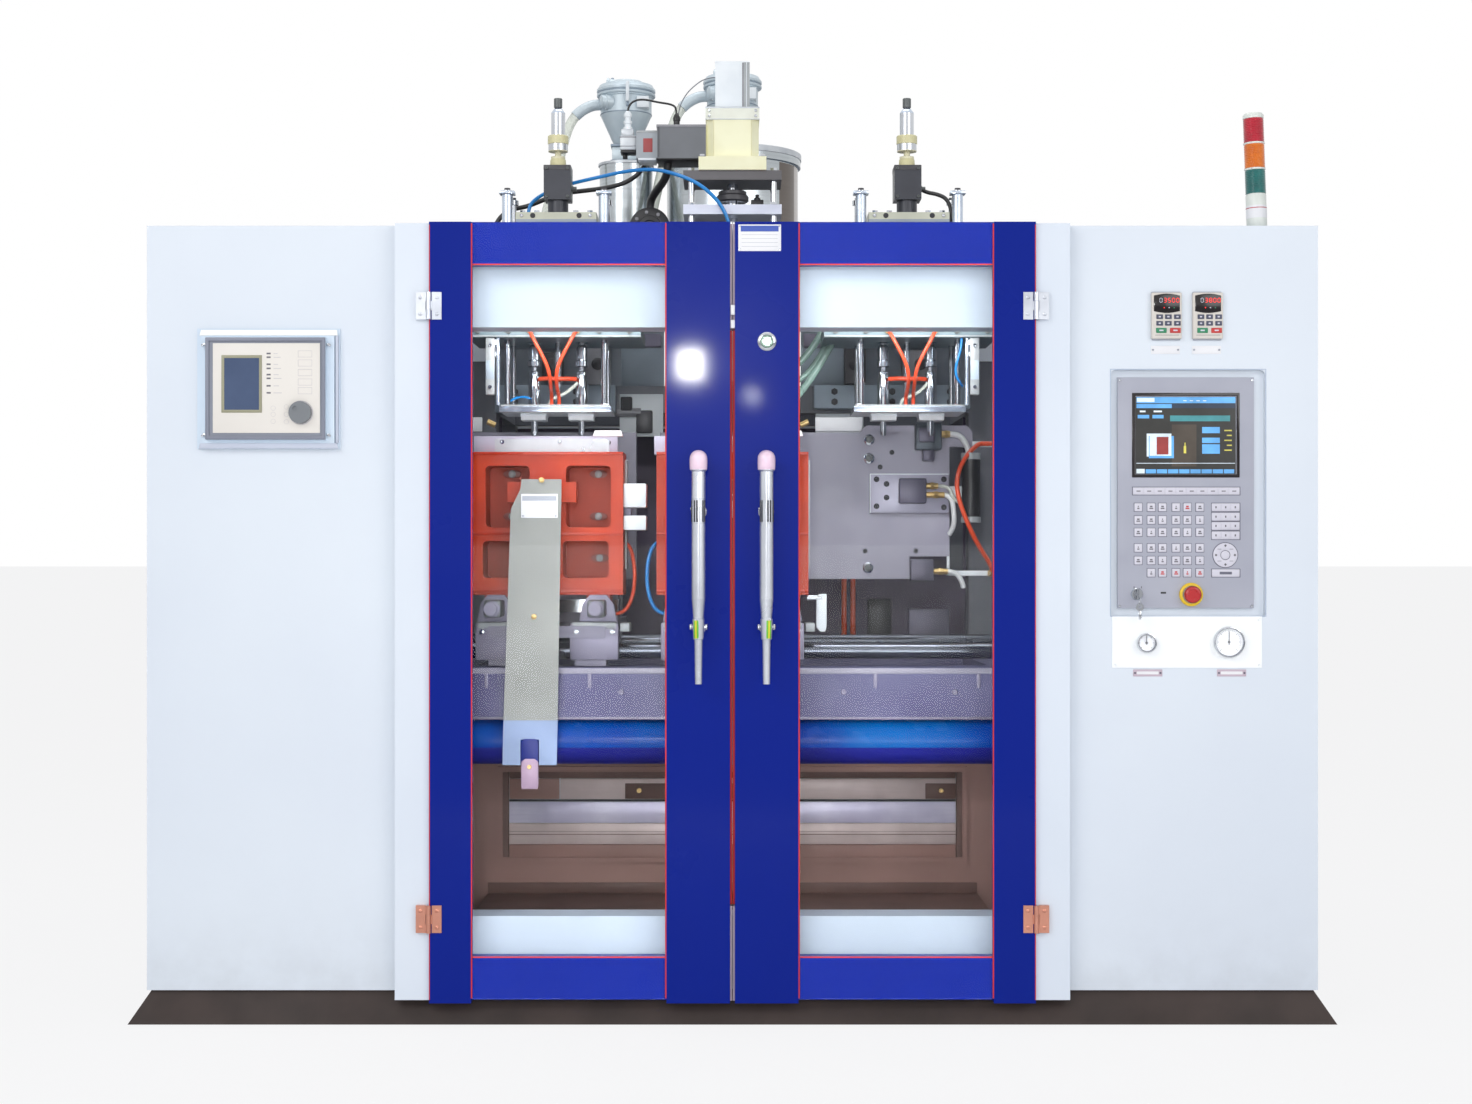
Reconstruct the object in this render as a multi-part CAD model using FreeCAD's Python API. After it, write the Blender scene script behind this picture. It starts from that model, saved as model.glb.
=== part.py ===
import FreeCAD, Part
import math
import os

# Double-station blow moulding machine. Millimetres, +X to the right, +Y to the back, +Z up,
# with the origin on the floor at the middle of the machine.

# enclosure
cabinet_outer_x = 1424
cabinet_inner_x = 815
cabinet_front_y = -900
cabinet_back_y = 900
cabinet_top_z = 1935
sheet = 3
plinth_height = 76
plinth_inset = 10
plinth_spread = 37
post_inner_x = 732
post_front_y = -940
post_back_y = -903.5
post_web_back_y = -800
post_base_z = 60
header_bottom_z = 1690
sill_top_z = 253
beam_front_y = -880
beam_depth = 100

# doors
door_gap = 12
door_edge_clearance = 1
door_front_y = -950
door_thickness = 40
door_bottom_z = 54
door_top_z = 1937
outer_stile = 101
inner_stile = 153
rail_height = 104
rail_recess = 5.8
glass_thickness = 5
glass_clearance = 0.3
hinge_axis_y = -957
hinge_height = 66
hinge_leaf = 31
hinge_inset = 203
hinge_z = (door_top_z - hinge_inset, door_bottom_z + hinge_inset)
hinge_knuckle_r = 6
hinge_pin_r = 3
running_clearance = 0.05
handle_x = 81
handle_y = -1005
handle_top_z = 1332
handle_bottom_z = 826
handle_r = 16.5
lock_x = 83
lock_z = 1648
lock_r = 11

# panels on the cabinet fronts
controller_x = (-1300, -953)
controller_z = (1392, 1684)
controller_knob_x = -1043
controller_knob_z = 1478
controller_knob_r = 26.5
recess_x = (920, 1296)
recess_z = (986, 1585)
recess_depth = 20
hmi_x = (938, 1270)
hmi_z = (1005, 1567)
hmi_front_y = -892
gauge_plate_x = (923, 1287)
gauge_plate_z = (860, 985)
small_gauge = (1005, 921, 23)
large_gauge = (1205, 923, 36.5)
estop_centre = (1116, 1038)
estop_r = 20
key_centre = (985, 1039)
tower_x = 1300
tower_y = -780
tower_r = 25.5
tower_lens = 55

# machine bed, guide rods and frame
bed_half_x = 800
bed_bottom_z = 720
bed_top_z = 851
bed_front_y = -710
bed_beam = 140
bed_back_y = 180
apron_r = 59
back_panel_bottom_z = 600
bulkhead_y = -50
bulkhead_opening = (-650, 650, 284, 530)
guide_rod_z = 889
guide_rod_r = 20
guide_rod_y = (-600, 100)
guide_rod_half = 790
column_x = 740
column_size = 80
front_column_y = 290
back_column_y = 850
platform_z = 1640
roof_z = 1930
roof_beam = 70

# clamps
station_x = 472
parting_y = -305
parting_gap = 0.3
platen_half_x = 193.5
platen_bottom_z = 1034
platen_top_z = 1398
platen_front_y = -650
platen_back_y = -500
rear_plate_y = -110
rear_plate_thickness = 40
rear_plate_reach = 671
mould_half_x = 150
mould_bottom_z = 1060
mould_top_z = 1440
cavity_pitch = 128
clamp_rod_x = 130
clamp_rod_z = 1000
clamp_rod_r = 16
clamp_rod_y = (-790, 180)
clamp_cylinder_r = 65
clamp_cylinder_y = (200, 395)
clamp_ram_r = 25
carriage_half_x = 150
carriage_base_z = 925
carriage_plate = 30

# blowing units
fixed_plate_z = 1711
fixed_plate_thickness = 29
stand_half_x = 108
stand_top_z = 2053
blow_rod_x = 129
blow_rod_dy = 80
blow_rod_r = 8
blow_rod_top_z = 2109
blow_plate_z = 1518
blow_plate_thickness = 14
blow_cylinder_r = 27.5
blow_block = (72, 2094, 2179)
piston_rod_r = 8.5

# die head and extruder
head_half_x = 150
head_half_y = 75
head_z = (1600, 1900)
die_r = 42
die_tip_z = 1472
core_r = 14
actuator_plates_z = ((2047, 2073), (2139, 2164))
extruder_z = 1780
barrel_r = 70
screw_r = 27
barrel_bore_r = 27.5
barrel_front_y = -230
throat_y = (360, 560)
gearbox_y = (560, 800)
hopper_y = 450
side_hopper_x = -325


def block(x, y, z):
    return Part.makeBox(x[1] - x[0], y[1] - y[0], z[1] - z[0], FreeCAD.Vector(x[0], y[0], z[0]))


def slab(centre_x, half_x, y, z):
    return block((centre_x - half_x, centre_x + half_x), y, z)


def rod_z(x, y, z, r):
    return Part.makeCylinder(r, z[1] - z[0], FreeCAD.Vector(x, y, z[0]), FreeCAD.Vector(0, 0, 1))


def rod_y(x, z, y, r):
    return Part.makeCylinder(r, y[1] - y[0], FreeCAD.Vector(x, y[0], z), FreeCAD.Vector(0, 1, 0))


def rod_x(y, z, x, r):
    return Part.makeCylinder(r, x[1] - x[0], FreeCAD.Vector(x[0], y, z), FreeCAD.Vector(1, 0, 0))


def turned_z(x, y, profile):
    """Solid of revolution about a vertical axis; profile is a list of (radius, height)."""
    points = [FreeCAD.Vector(x, y, profile[0][1])]
    points += [FreeCAD.Vector(x + r, y, z) for r, z in profile]
    points += [FreeCAD.Vector(x, y, profile[-1][1]), points[0]]
    face = Part.Face(Part.makePolygon(points))
    return face.revolve(FreeCAD.Vector(x, y, 0), FreeCAD.Vector(0, 0, 1), 360)


def plate_xz(points, y):
    corners = [FreeCAD.Vector(x, y[0], z) for x, z in points]
    face = Part.Face(Part.makePolygon(corners + corners[:1]))
    return face.extrude(FreeCAD.Vector(0, y[1] - y[0], 0))


def tube_block(x, y, z, wall, along):
    """Rectangular hollow section running along one axis, 0 for X, 1 for Y and 2 for Z."""
    spans = [list(x), list(y), list(z)]
    inner = [span if axis == along else [span[0] + wall, span[1] - wall] for axis, span in enumerate(spans)]
    return block(*spans).cut(block(*inner))


def fused(shapes):
    return shapes[0].multiFuse(shapes[1:]).removeSplitter()


def mirrored(shape):
    return shape.mirror(FreeCAD.Vector(0, 0, 0), FreeCAD.Vector(1, 0, 0))


def ring_holes(shape, holes):
    return shape.cut(Part.makeCompound(holes))


# ---- enclosure ----

def plinth_skirt():
    def frustum(offset):
        wires = []
        for z, out in ((0, plinth_spread), (plinth_height, -plinth_inset)):
            half_x = cabinet_outer_x + out - offset
            front_y = cabinet_front_y - out + offset
            back_y = cabinet_back_y + out - offset
            corners = [(-half_x, front_y), (half_x, front_y), (half_x, back_y), (-half_x, back_y)]
            points = [FreeCAD.Vector(px, py, z) for px, py in corners]
            wires.append(Part.makePolygon(points + points[:1]))
        return Part.makeLoft(wires, True, True)
    return frustum(0).cut(frustum(sheet + 1))


def base_frame():
    half_x = cabinet_outer_x - 24
    half_y = cabinet_back_y - 24
    width = 100
    beams = [tube_block((-half_x, half_x), (side * half_y - (width if side > 0 else 0),
                                             side * half_y + (width if side < 0 else 0)),
                        (0, plinth_height), 6, 0) for side in (-1, 1)]
    spans = [-half_x + width / 2, -column_x, 0, column_x, half_x - width / 2]
    beams += [tube_block((px - width / 2, px + width / 2), (-half_y + width, half_y - width),
                         (0, plinth_height), 6, 1) for px in spans]
    return beams


def cabinet_shell():
    """Right-hand sheet cabinet, open towards the moulding bay."""
    outer = block((cabinet_inner_x, cabinet_outer_x), (cabinet_front_y, cabinet_back_y),
                  (plinth_height, cabinet_top_z))
    inner = block((cabinet_inner_x - 1, cabinet_outer_x - sheet),
                  (cabinet_front_y + sheet, cabinet_back_y - sheet),
                  (plinth_height + sheet, cabinet_top_z - sheet))
    return outer.cut(inner)


def right_cabinet():
    rim_x = (recess_x[0] - sheet, recess_x[1] + sheet)
    rim_z = (recess_z[0] - sheet, recess_z[1] + sheet)
    tray = block(rim_x, (cabinet_front_y, cabinet_front_y + recess_depth + sheet), rim_z)
    hollow = block(recess_x, (cabinet_front_y - 1, cabinet_front_y + recess_depth), recess_z)
    shell = cabinet_shell().fuse(tray)
    case_hole = block((hmi_x[0] + 10, hmi_x[1] - 10), (cabinet_front_y, cabinet_front_y + 30),
                      (hmi_z[0] + 10, hmi_z[1] - 10))
    return shell.cut(hollow).cut(case_hole).removeSplitter()


def door_post():
    front = tube_block((post_inner_x, cabinet_inner_x), (post_front_y, post_back_y),
                       (post_base_z, door_top_z - 2), sheet, 2)
    web = block((post_inner_x + 4, cabinet_inner_x), (post_back_y, post_web_back_y),
                (plinth_height, header_bottom_z + 240))
    relief = block((post_inner_x, cabinet_inner_x - 20), (post_back_y, post_web_back_y + 1),
                   (sill_top_z + 5, header_bottom_z - 5))
    return front.fuse(web.cut(relief)).removeSplitter()


def bay_panels():
    half = post_inner_x + 4
    y = (beam_front_y, beam_front_y + beam_depth)
    header = tube_block((-half, half), y, (header_bottom_z, roof_z), sheet, 0)
    sill = tube_block((-half, half), y, (plinth_height, sill_top_z), sheet, 0)
    back = block((-cabinet_inner_x, cabinet_inner_x), (cabinet_back_y - sheet, cabinet_back_y),
                 (back_panel_bottom_z, platform_z - 80))
    return [header, sill, back, door_post(), mirrored(door_post())]


def bulkhead():
    x0, x1, z0, z1 = bulkhead_opening
    panel = block((-bed_half_x, bed_half_x), (bulkhead_y, bulkhead_y + 4), (plinth_height, bed_bottom_z))
    lip = tube_block((x0 - 12, x1 + 12), (bulkhead_y - 18, bulkhead_y), (z0 - 12, z1 + 12), 12, 1)
    opening = block((x0, x1), (bulkhead_y - 30, bulkhead_y + 10), (z0, z1))
    return panel.fuse(lip).cut(opening).removeSplitter()


# ---- doors ----

door_inner_x = door_gap / 2
door_outer_x = post_inner_x - door_edge_clearance
hinge_axis_x = (post_inner_x + door_outer_x) / 2
window_x = (door_inner_x + inner_stile, door_outer_x - outer_stile)
door_y = (door_front_y, door_front_y + door_thickness)
rail_front_y = door_front_y + rail_recess


def door_frame():
    stiles = [block((door_inner_x, window_x[0]), door_y, (door_bottom_z, door_top_z)),
              block((window_x[1], door_outer_x), door_y, (door_bottom_z, door_top_z))]
    rail_y = (rail_front_y, door_y[1])
    rail_z0 = door_bottom_z + 8
    rails = [block(window_x, rail_y, (door_top_z - rail_height, door_top_z)),
             block(window_x, rail_y, (rail_z0, rail_z0 + rail_height))]
    return fused(stiles + rails)


def right_door_frame():
    bore = rod_y(lock_x, lock_z, (door_y[0] - 1, door_y[1] + 1), lock_r + running_clearance)
    return door_frame().cut(bore)


def window():
    x = (window_x[0] + glass_clearance, window_x[1] - glass_clearance)
    y = (rail_front_y - glass_thickness - glass_clearance, rail_front_y - glass_clearance)
    return block(x, y, (door_bottom_z + 10, door_top_z - 2))


def handle():
    neck_z = 1030
    grip = turned_z(handle_x, handle_y, [(8.5, handle_bottom_z), (10, 936), (12.5, 981),
                                         (handle_r, neck_z), (handle_r, handle_top_z)])
    cap = turned_z(handle_x, handle_y, [(handle_r, handle_top_z), (20, handle_top_z + 4),
                                        (20, handle_top_z + 34), (16, handle_top_z + 40)])
    feet = [rod_y(handle_x, z, (handle_y, door_front_y), r) for z, r in ((1238, 13), (958, 11))]
    return fused([grip, cap] + feet)


def hinge_knuckles(z, sections):
    step = hinge_height / 3
    bottom = z - hinge_height / 2
    return [(bottom + i * step + glass_clearance / 2, bottom + (i + 1) * step - glass_clearance / 2)
            for i in sections]


def hinge_leaf_solid(z, side):
    """One leaf of a hinge; side is 1 for the leaf on the post and -1 for the leaf on the door."""
    sections = (0, 2) if side > 0 else (1,)
    back_y = post_front_y if side > 0 else door_front_y
    edge = hinge_axis_x + side * (hinge_knuckle_r + 1.5)
    far = hinge_axis_x + side * hinge_leaf
    half = hinge_height / 2
    plate = block(sorted((edge, far)), (door_front_y - 3, back_y), (z - half, z + half))
    parts = [plate]
    for span in hinge_knuckles(z, sections):
        parts.append(rod_z(hinge_axis_x, hinge_axis_y, span, hinge_knuckle_r))
        parts.append(block(sorted((hinge_axis_x, edge)), (hinge_axis_y, door_front_y - 1), span))
    bore_r = hinge_pin_r if side > 0 else hinge_pin_r + running_clearance
    bore = rod_z(hinge_axis_x, hinge_axis_y, (z - hinge_height, z + hinge_height), bore_r)
    return fused(parts).cut(bore)


def hinge_pin(z):
    half = hinge_height / 2
    return rod_z(hinge_axis_x, hinge_axis_y, (z - half, z + half), hinge_pin_r)


def fixed_hinge_leaves():
    right = [hinge_leaf_solid(z, 1) for z in hinge_z] + [hinge_pin(z) for z in hinge_z]
    return right + [mirrored(solid) for solid in right]


def door_hinge_leaves():
    return [hinge_leaf_solid(z, -1) for z in hinge_z]


def lock_plug():
    back_y = door_y[1]
    plug = rod_y(lock_x, lock_z, (door_front_y - 8, back_y + 8), lock_r)
    slot = block((lock_x - 1, lock_x + 1), (door_front_y - 9, door_front_y - 3), (lock_z - 5, lock_z + 5))
    cam = block((lock_x - 9, lock_x + 9), (back_y + 2, back_y + 6), (lock_z - 104, lock_z + 9))
    return plug.cut(slot).fuse(cam).removeSplitter()


# ---- panels on the cabinet fronts ----

def controller_case():
    x0, x1 = controller_x
    z0, z1 = controller_z
    mount = block((x0, x1), (cabinet_front_y - 6, cabinet_front_y), (z0, z1))
    raised = block((x0 + 12, x1 - 12), (cabinet_front_y - 16, cabinet_front_y - 6), (z0 + 12, z1 - 12))
    case_y = (cabinet_front_y - 31, cabinet_front_y - 16)
    case = block((x0 + 26, x1 - 31), case_y, (z0 + 21, z1 - 24))
    screen = block((-1241, -1141), (case_y[0] - 1, case_y[0] + 3), (1480, 1620))
    spindle = rod_y(controller_knob_x, controller_knob_z, (case_y[0] - 1, case_y[0] + 12),
                    5 + running_clearance)
    return [mount.fuse(raised).removeSplitter(), case.cut(screen).cut(spindle)]


def controller_knob():
    front_y = cabinet_front_y - 31
    dial = rod_y(controller_knob_x, controller_knob_z, (front_y - 20, front_y - 0.5), controller_knob_r)
    spindle = rod_y(controller_knob_x, controller_knob_z, (front_y - 0.5, front_y + 11), 5)
    dimple = rod_y(controller_knob_x - 11, controller_knob_z + 9, (front_y - 21, front_y - 17), 6)
    return dial.makeFillet(2, dial.Edges[:1]).fuse(spindle).cut(dimple).removeSplitter()


def hmi_panel():
    floor_y = cabinet_front_y + recess_depth
    front = block(hmi_x, (hmi_front_y, floor_y), hmi_z)
    case = block((hmi_x[0] + 12, hmi_x[1] - 12), (floor_y, floor_y + 70), (hmi_z[0] + 12, hmi_z[1] - 12))
    screen = block((981, 1226), (hmi_front_y - 1, hmi_front_y + 3), (1331, 1520))
    x, z = estop_centre
    estop_bore = rod_y(x, z, (hmi_front_y - 10, hmi_front_y + 30), 8 + running_clearance)
    key_bore = rod_y(key_centre[0], key_centre[1], (hmi_front_y - 1, hmi_front_y + 30), 9 + running_clearance)
    collar = rod_y(x, z, (hmi_front_y - 8, hmi_front_y), 28).cut(estop_bore)
    return [front.fuse(case).cut(screen).cut(estop_bore).cut(key_bore).removeSplitter(), collar]


def estop_head():
    x, z = estop_centre
    head = rod_y(x, z, (hmi_front_y - 32, hmi_front_y - 16), estop_r)
    head = head.makeFillet(5, [edge for edge in head.Edges if edge.CenterOfMass.y < hmi_front_y - 31])
    return head.fuse(rod_y(x, z, (hmi_front_y - 16, hmi_front_y + 20), 8)).removeSplitter()


def key_switch_plug():
    x, z = key_centre
    plug = rod_y(x, z, (hmi_front_y - 6, hmi_front_y + 26), 9)
    blade = block((x - 1.2, x + 1.2), (hmi_front_y - 16, hmi_front_y - 6), (z - 4, z + 4))
    bow = block((x - 1.2, x + 1.2), (hmi_front_y - 40, hmi_front_y - 16), (z - 12, z + 12))
    return fused([plug, blade, bow])


def gauge_case(x, z, r):
    case = rod_y(x, z, (cabinet_front_y - 18, cabinet_front_y - 3), r)
    dish = rod_y(x, z, (cabinet_front_y - 19, cabinet_front_y - 8), r - 3)
    pivot = rod_y(x, z, (cabinet_front_y - 9, cabinet_front_y - 5), 1.5 + running_clearance)
    return case.cut(dish).cut(pivot)


def gauge_panel():
    plate = block(gauge_plate_x, (cabinet_front_y - 3, cabinet_front_y), gauge_plate_z)
    return [plate, gauge_case(*small_gauge), gauge_case(*large_gauge)]


def gauge_needle(x, z, r):
    y = cabinet_front_y - 12
    hub = rod_y(x, z, (y - 1, y + 1), 3)
    pin = rod_y(x, z, (y + 1, cabinet_front_y - 5.5), 1.5)
    arm = block((x - 0.8, x + 0.8), (y - 0.5, y + 0.5), (z - r * 0.2, z + r * 0.7))
    return fused([hub, pin, arm])


def signal_tower():
    heights = [0, 79, 79 + tower_lens, 83 + tower_lens, 83 + 2 * tower_lens, 87 + 2 * tower_lens,
               87 + 3 * tower_lens, 101 + 3 * tower_lens]
    lean = 2
    floor = slab(tower_x, 100, (tower_y - 100, tower_y + 100), (cabinet_top_z - 50, cabinet_top_z))
    sections = []
    for bottom, top in zip(heights, heights[1:]):
        low = cabinet_top_z + bottom - (2 if bottom == 0 else 0)
        section = rod_z(tower_x, tower_y, (low, cabinet_top_z + top), tower_r)
        section.rotate(FreeCAD.Vector(tower_x, tower_y, cabinet_top_z), FreeCAD.Vector(0, 1, 0), -lean)
        sections.append(section.cut(floor))
    return sections


# ---- bed, frame and conveyor ----

def machine_bed():
    depth = (bed_bottom_z, bed_top_z)
    front = (bed_front_y, bed_front_y + bed_beam)
    back = (bed_back_y - bed_beam, bed_back_y)
    beams = [tube_block((-bed_half_x, bed_half_x), y, depth, 12, 0) for y in (front, back)]
    for side in (-1, 1):
        x = sorted((side * (bed_half_x - bed_beam), side * bed_half_x))
        beams.append(tube_block(x, (front[1], back[0]), (bed_top_z - 120, bed_top_z), 12, 1))
        leg_x = sorted((side * (bed_half_x - 100), side * bed_half_x))
        beams += [tube_block(leg_x, y, (plinth_height, bed_bottom_z), 8, 2)
                  for y in ((front[0], front[0] + 100), (back[1] - 100, back[1]))]
    return beams


def blue_apron():
    """Rolled splash sheet hung along the underside of the bed's front beam."""
    centre_y = bed_front_y + 53
    centre_z = bed_bottom_z + 2 - apron_r
    half_x = bed_half_x - 110
    outer = rod_x(centre_y, centre_z, (-half_x, half_x), apron_r)
    inner = rod_x(centre_y, centre_z, (-half_x - 1, half_x + 1), apron_r - sheet)
    above = block((-bed_half_x, bed_half_x), (centre_y - apron_r, centre_y + apron_r),
                  (bed_bottom_z, bed_top_z))
    return outer.cut(inner).cut(above)


def guide_rods():
    solids = []
    for y in guide_rod_y:
        rod = rod_x(y, guide_rod_z, (-guide_rod_half, guide_rod_half), guide_rod_r)
        solids.append(rod)
        for side in (-1, 1):
            x = sorted((side * (guide_rod_half - 30), side * (guide_rod_half + 10)))
            support = block(x, (y - 50, y + 50), (bed_top_z, carriage_base_z))
            solids.append(support.cut(rod))
    return solids


def main_frame():
    half = column_size / 2
    low = (platform_z - column_size, platform_z)
    inner_x = column_x - half
    members = []
    for x in (-column_x, column_x):
        members.append(tube_block((x - half, x + half), (front_column_y - half, front_column_y + half),
                                  (plinth_height, roof_z), 6, 2))
        members.append(tube_block((x - half, x + half), (back_column_y - half, back_column_y + half),
                                  (plinth_height, platform_z), 6, 2))
        members.append(tube_block((x - half, x + half), (front_column_y + half, back_column_y - half),
                                  low, 6, 1))
    front_y = (front_column_y - half, front_column_y + half)
    back_y = (back_column_y - half, back_column_y + half)
    members += [tube_block((-inner_x, inner_x), front_y, low, 6, 0),
                tube_block((-inner_x, inner_x), back_y, low, 6, 0),
                tube_block((-inner_x, inner_x), front_y, (roof_z - column_size, roof_z), 6, 0)]
    members += [tube_block((x - 30, x + 30), (front_y[1], back_y[0]), low, 6, 1) for x in (-110, 110)]
    roof = (roof_z - roof_beam, roof_z)
    for station in (-station_x, station_x):
        for offset in (-190, 190):
            x = station + offset
            members.append(tube_block((x - 30, x + 30), (beam_front_y + beam_depth, front_y[0]), roof, 6, 1))
    gap_x = station_x - 190 - 30
    members += [tube_block((-gap_x, gap_x), (y, y + 40), (1860, 1900), 5, 0) for y in (-430, -220)]
    members.append(tube_block((-inner_x, -140), (hopper_y - 30, hopper_y + 30),
                              (platform_z - 60, platform_z), 5, 0))
    members.append(tube_block((side_hopper_x - 30, side_hopper_x + 30), (hopper_y - 30, hopper_y + 30),
                              (platform_z, 1960), 5, 2))
    return members


roller_z = 385
roller_r = 45
nose_y = 40
drive_y = 800
conveyor_half_x = 640
profile_width = 40
shaft_r = 12


def conveyor_frame():
    inner_x = conveyor_half_x - profile_width
    solids = []
    bores = Part.makeCompound([rod_x(drive_y, roller_z, (-700, 700), shaft_r + running_clearance)])
    for side in (-1, 1):
        x = sorted((side * inner_x, side * conveyor_half_x))
        guard_x = sorted((side * (conveyor_half_x - 8), side * conveyor_half_x))
        rail = block(x, (-30, 860), (310, 432)).cut(bores)
        solids.append(rail.fuse(block(guard_x, (-30, 860), (432, 505))).removeSplitter())
        solids += [block(x, y, (plinth_height, 310)) for y in ((0, 40), (760, 800))]
    nose = rod_x(nose_y, roller_z, (-inner_x, inner_x), roller_r)
    front = block((-inner_x, inner_x), (-30, -10), (310, 432))
    lip = block((-conveyor_half_x + 8, conveyor_half_x - 8), (-30, -15), (443, 505))
    return solids + [nose, front, lip]


def racetrack(r, half_x):
    ends = [rod_x(y, roller_z, (-half_x, half_x), r) for y in (nose_y, drive_y)]
    web = block((-half_x, half_x), (nose_y, drive_y), (roller_z - r, roller_z + r))
    return fused(ends + [web])


def conveyor_belt():
    return racetrack(roller_r + 3.3, 590).cut(racetrack(roller_r + 0.3, 591))


def conveyor_roller():
    drum = rod_x(drive_y, roller_z, (-590, 590), roller_r)
    shaft = rod_x(drive_y, roller_z, (-conveyor_half_x, conveyor_half_x), shaft_r)
    return drum.fuse(shaft).removeSplitter()


def hydraulic_unit():
    tank = block((900, 1360), (100, 700), (plinth_height + sheet, 480))
    motor = rod_z(1130, 400, (480, 800), 100)
    return [tank, motor]


# ---- clamps; the right-hand set is modelled about x = 0 and moved to its station ----

def carriage():
    base = slab(0, carriage_half_x, (platen_front_y - 10, clamp_cylinder_y[1] + 20),
                (carriage_base_z, carriage_base_z + carriage_plate))
    base_top = carriage_base_z + carriage_plate
    solids = [base]
    for y in guide_rod_y:
        for x in (-110, 110):
            shoe = slab(x, 40, (y - 45, y + 45), (bed_top_z + 2, carriage_base_z))
            solids.append(shoe.cut(rod_x(y, guide_rod_z, (x - 50, x + 50), guide_rod_r + running_clearance)))
    saddle = slab(0, clamp_rod_x + 35, (parting_y - 45, parting_y + 45), (base_top, clamp_rod_z + 30))
    back = slab(0, 110, (clamp_cylinder_y[1], clamp_cylinder_y[1] + 20), (base_top, platen_centre_z + 75))
    for x in (-clamp_rod_x, clamp_rod_x):
        rod = rod_y(x, clamp_rod_z, clamp_rod_y, clamp_rod_r)
        saddle = saddle.cut(rod)
        solids.append(rod)
    cylinder = rod_y(0, platen_centre_z, clamp_cylinder_y, clamp_cylinder_r)
    gland = rod_y(0, platen_centre_z, (clamp_cylinder_y[0] - 1, clamp_cylinder_y[0] + 30),
                  clamp_ram_r + running_clearance)
    bore = rod_y(0, platen_centre_z, (clamp_cylinder_y[0] + 20, clamp_cylinder_y[1] - 10), 50)
    return solids + [saddle, back, cylinder.cut(gland).cut(bore)]


platen_centre_z = (platen_bottom_z + platen_top_z) / 2


def platen_foot(x, y):
    foot = slab(x, 30, y, (clamp_rod_z - 32, platen_bottom_z))
    return foot.cut(rod_y(x, clamp_rod_z, (y[0] - 1, y[1] + 1), clamp_rod_r + running_clearance))


def front_platen():
    y = (platen_front_y, platen_back_y)
    body = slab(0, platen_half_x, y, (platen_bottom_z, platen_top_z))
    pockets = [((-157, -45), (1206, 1363)), ((48, 162), (1206, 1363)),
               ((-164, -45), (1077, 1171)), ((40, 157), (1077, 1171))]
    for px, pz in pockets:
        pocket = block(px, (y[0] - 1, y[1] - 40), pz)
        body = body.cut(pocket.makeFillet(12, [edge for edge in pocket.Edges if is_along_y(edge)]))
    feet = [platen_foot(x, (y[0] + 10, y[1] - 10)) for x in (-clamp_rod_x, clamp_rod_x)]
    bracket = block((-98, 76), (y[0] - 30, y[0]), (1269, 1320))
    return [fused([body, bracket] + feet), chute()]


def is_along_y(edge):
    a, b = edge.Vertexes[0].Point, edge.Vertexes[-1].Point
    return abs(a.x - b.x) < 0.01 and abs(a.z - b.z) < 0.01


def chute():
    """Folded guard sheet that hangs in front of the platen, with a forked foot."""
    y = (platen_front_y - 85, platen_front_y - 82)
    outline = [(-57, 1325), (43, 1325), (43, 1300), (33, 700), (31, 608), (-13, 608), (-13, 672),
               (-60, 672), (-60, 608), (-105, 608), (-103, 700), (-84, 1250), (-60, 1300)]
    sheet_face = plate_xz(outline, y)
    block_y = (y[1], platen_front_y - 30)
    return sheet_face.fuse(block((-30, 20), block_y, (1275, 1312))).removeSplitter()


def rear_platen():
    y = (rear_plate_y, rear_plate_y + rear_plate_thickness)
    outline = [(-203, 1071), (495, 1071), (495, 1134), (607, 1134), (607, 1440), (rear_plate_reach, 1440),
               (rear_plate_reach, 1481), (656, 1500), (374, 1500), (356, 1481), (-203, 1481)]
    plate = plate_xz(outline, y)
    neck = slab(0, 165, y, (platen_bottom_z, 1071))
    feet = [platen_foot(x, (y[0], y[0] + 100)) for x in (-clamp_rod_x, clamp_rod_x)]
    ram = rod_y(0, platen_centre_z, (y[1], clamp_cylinder_y[0] + 40), clamp_ram_r)
    piston = rod_y(0, platen_centre_z, (clamp_cylinder_y[0] + 40, clamp_cylinder_y[0] + 58), 49.9)
    return fused([plate, neck, ram, piston] + feet)


def bottle(x):
    """Cavity of one bottle with its neck, centred on the parting plane."""
    profile = [(40, mould_bottom_z + 50), (40, 1310), (30, 1345), (15, 1370), (15, mould_top_z + 1)]
    return turned_z(x, parting_y, profile)


def mould_half(front):
    inner_y = parting_y + (-parting_gap / 2 if front else parting_gap / 2)
    y = (platen_back_y, inner_y) if front else (inner_y, rear_plate_y)
    half = slab(0, mould_half_x, y, (mould_bottom_z, mould_top_z))
    return ring_holes(half, [bottle(x) for x in (-cavity_pitch / 2, cavity_pitch / 2)])


# ---- blowing units, modelled about x = 0 ----

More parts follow.
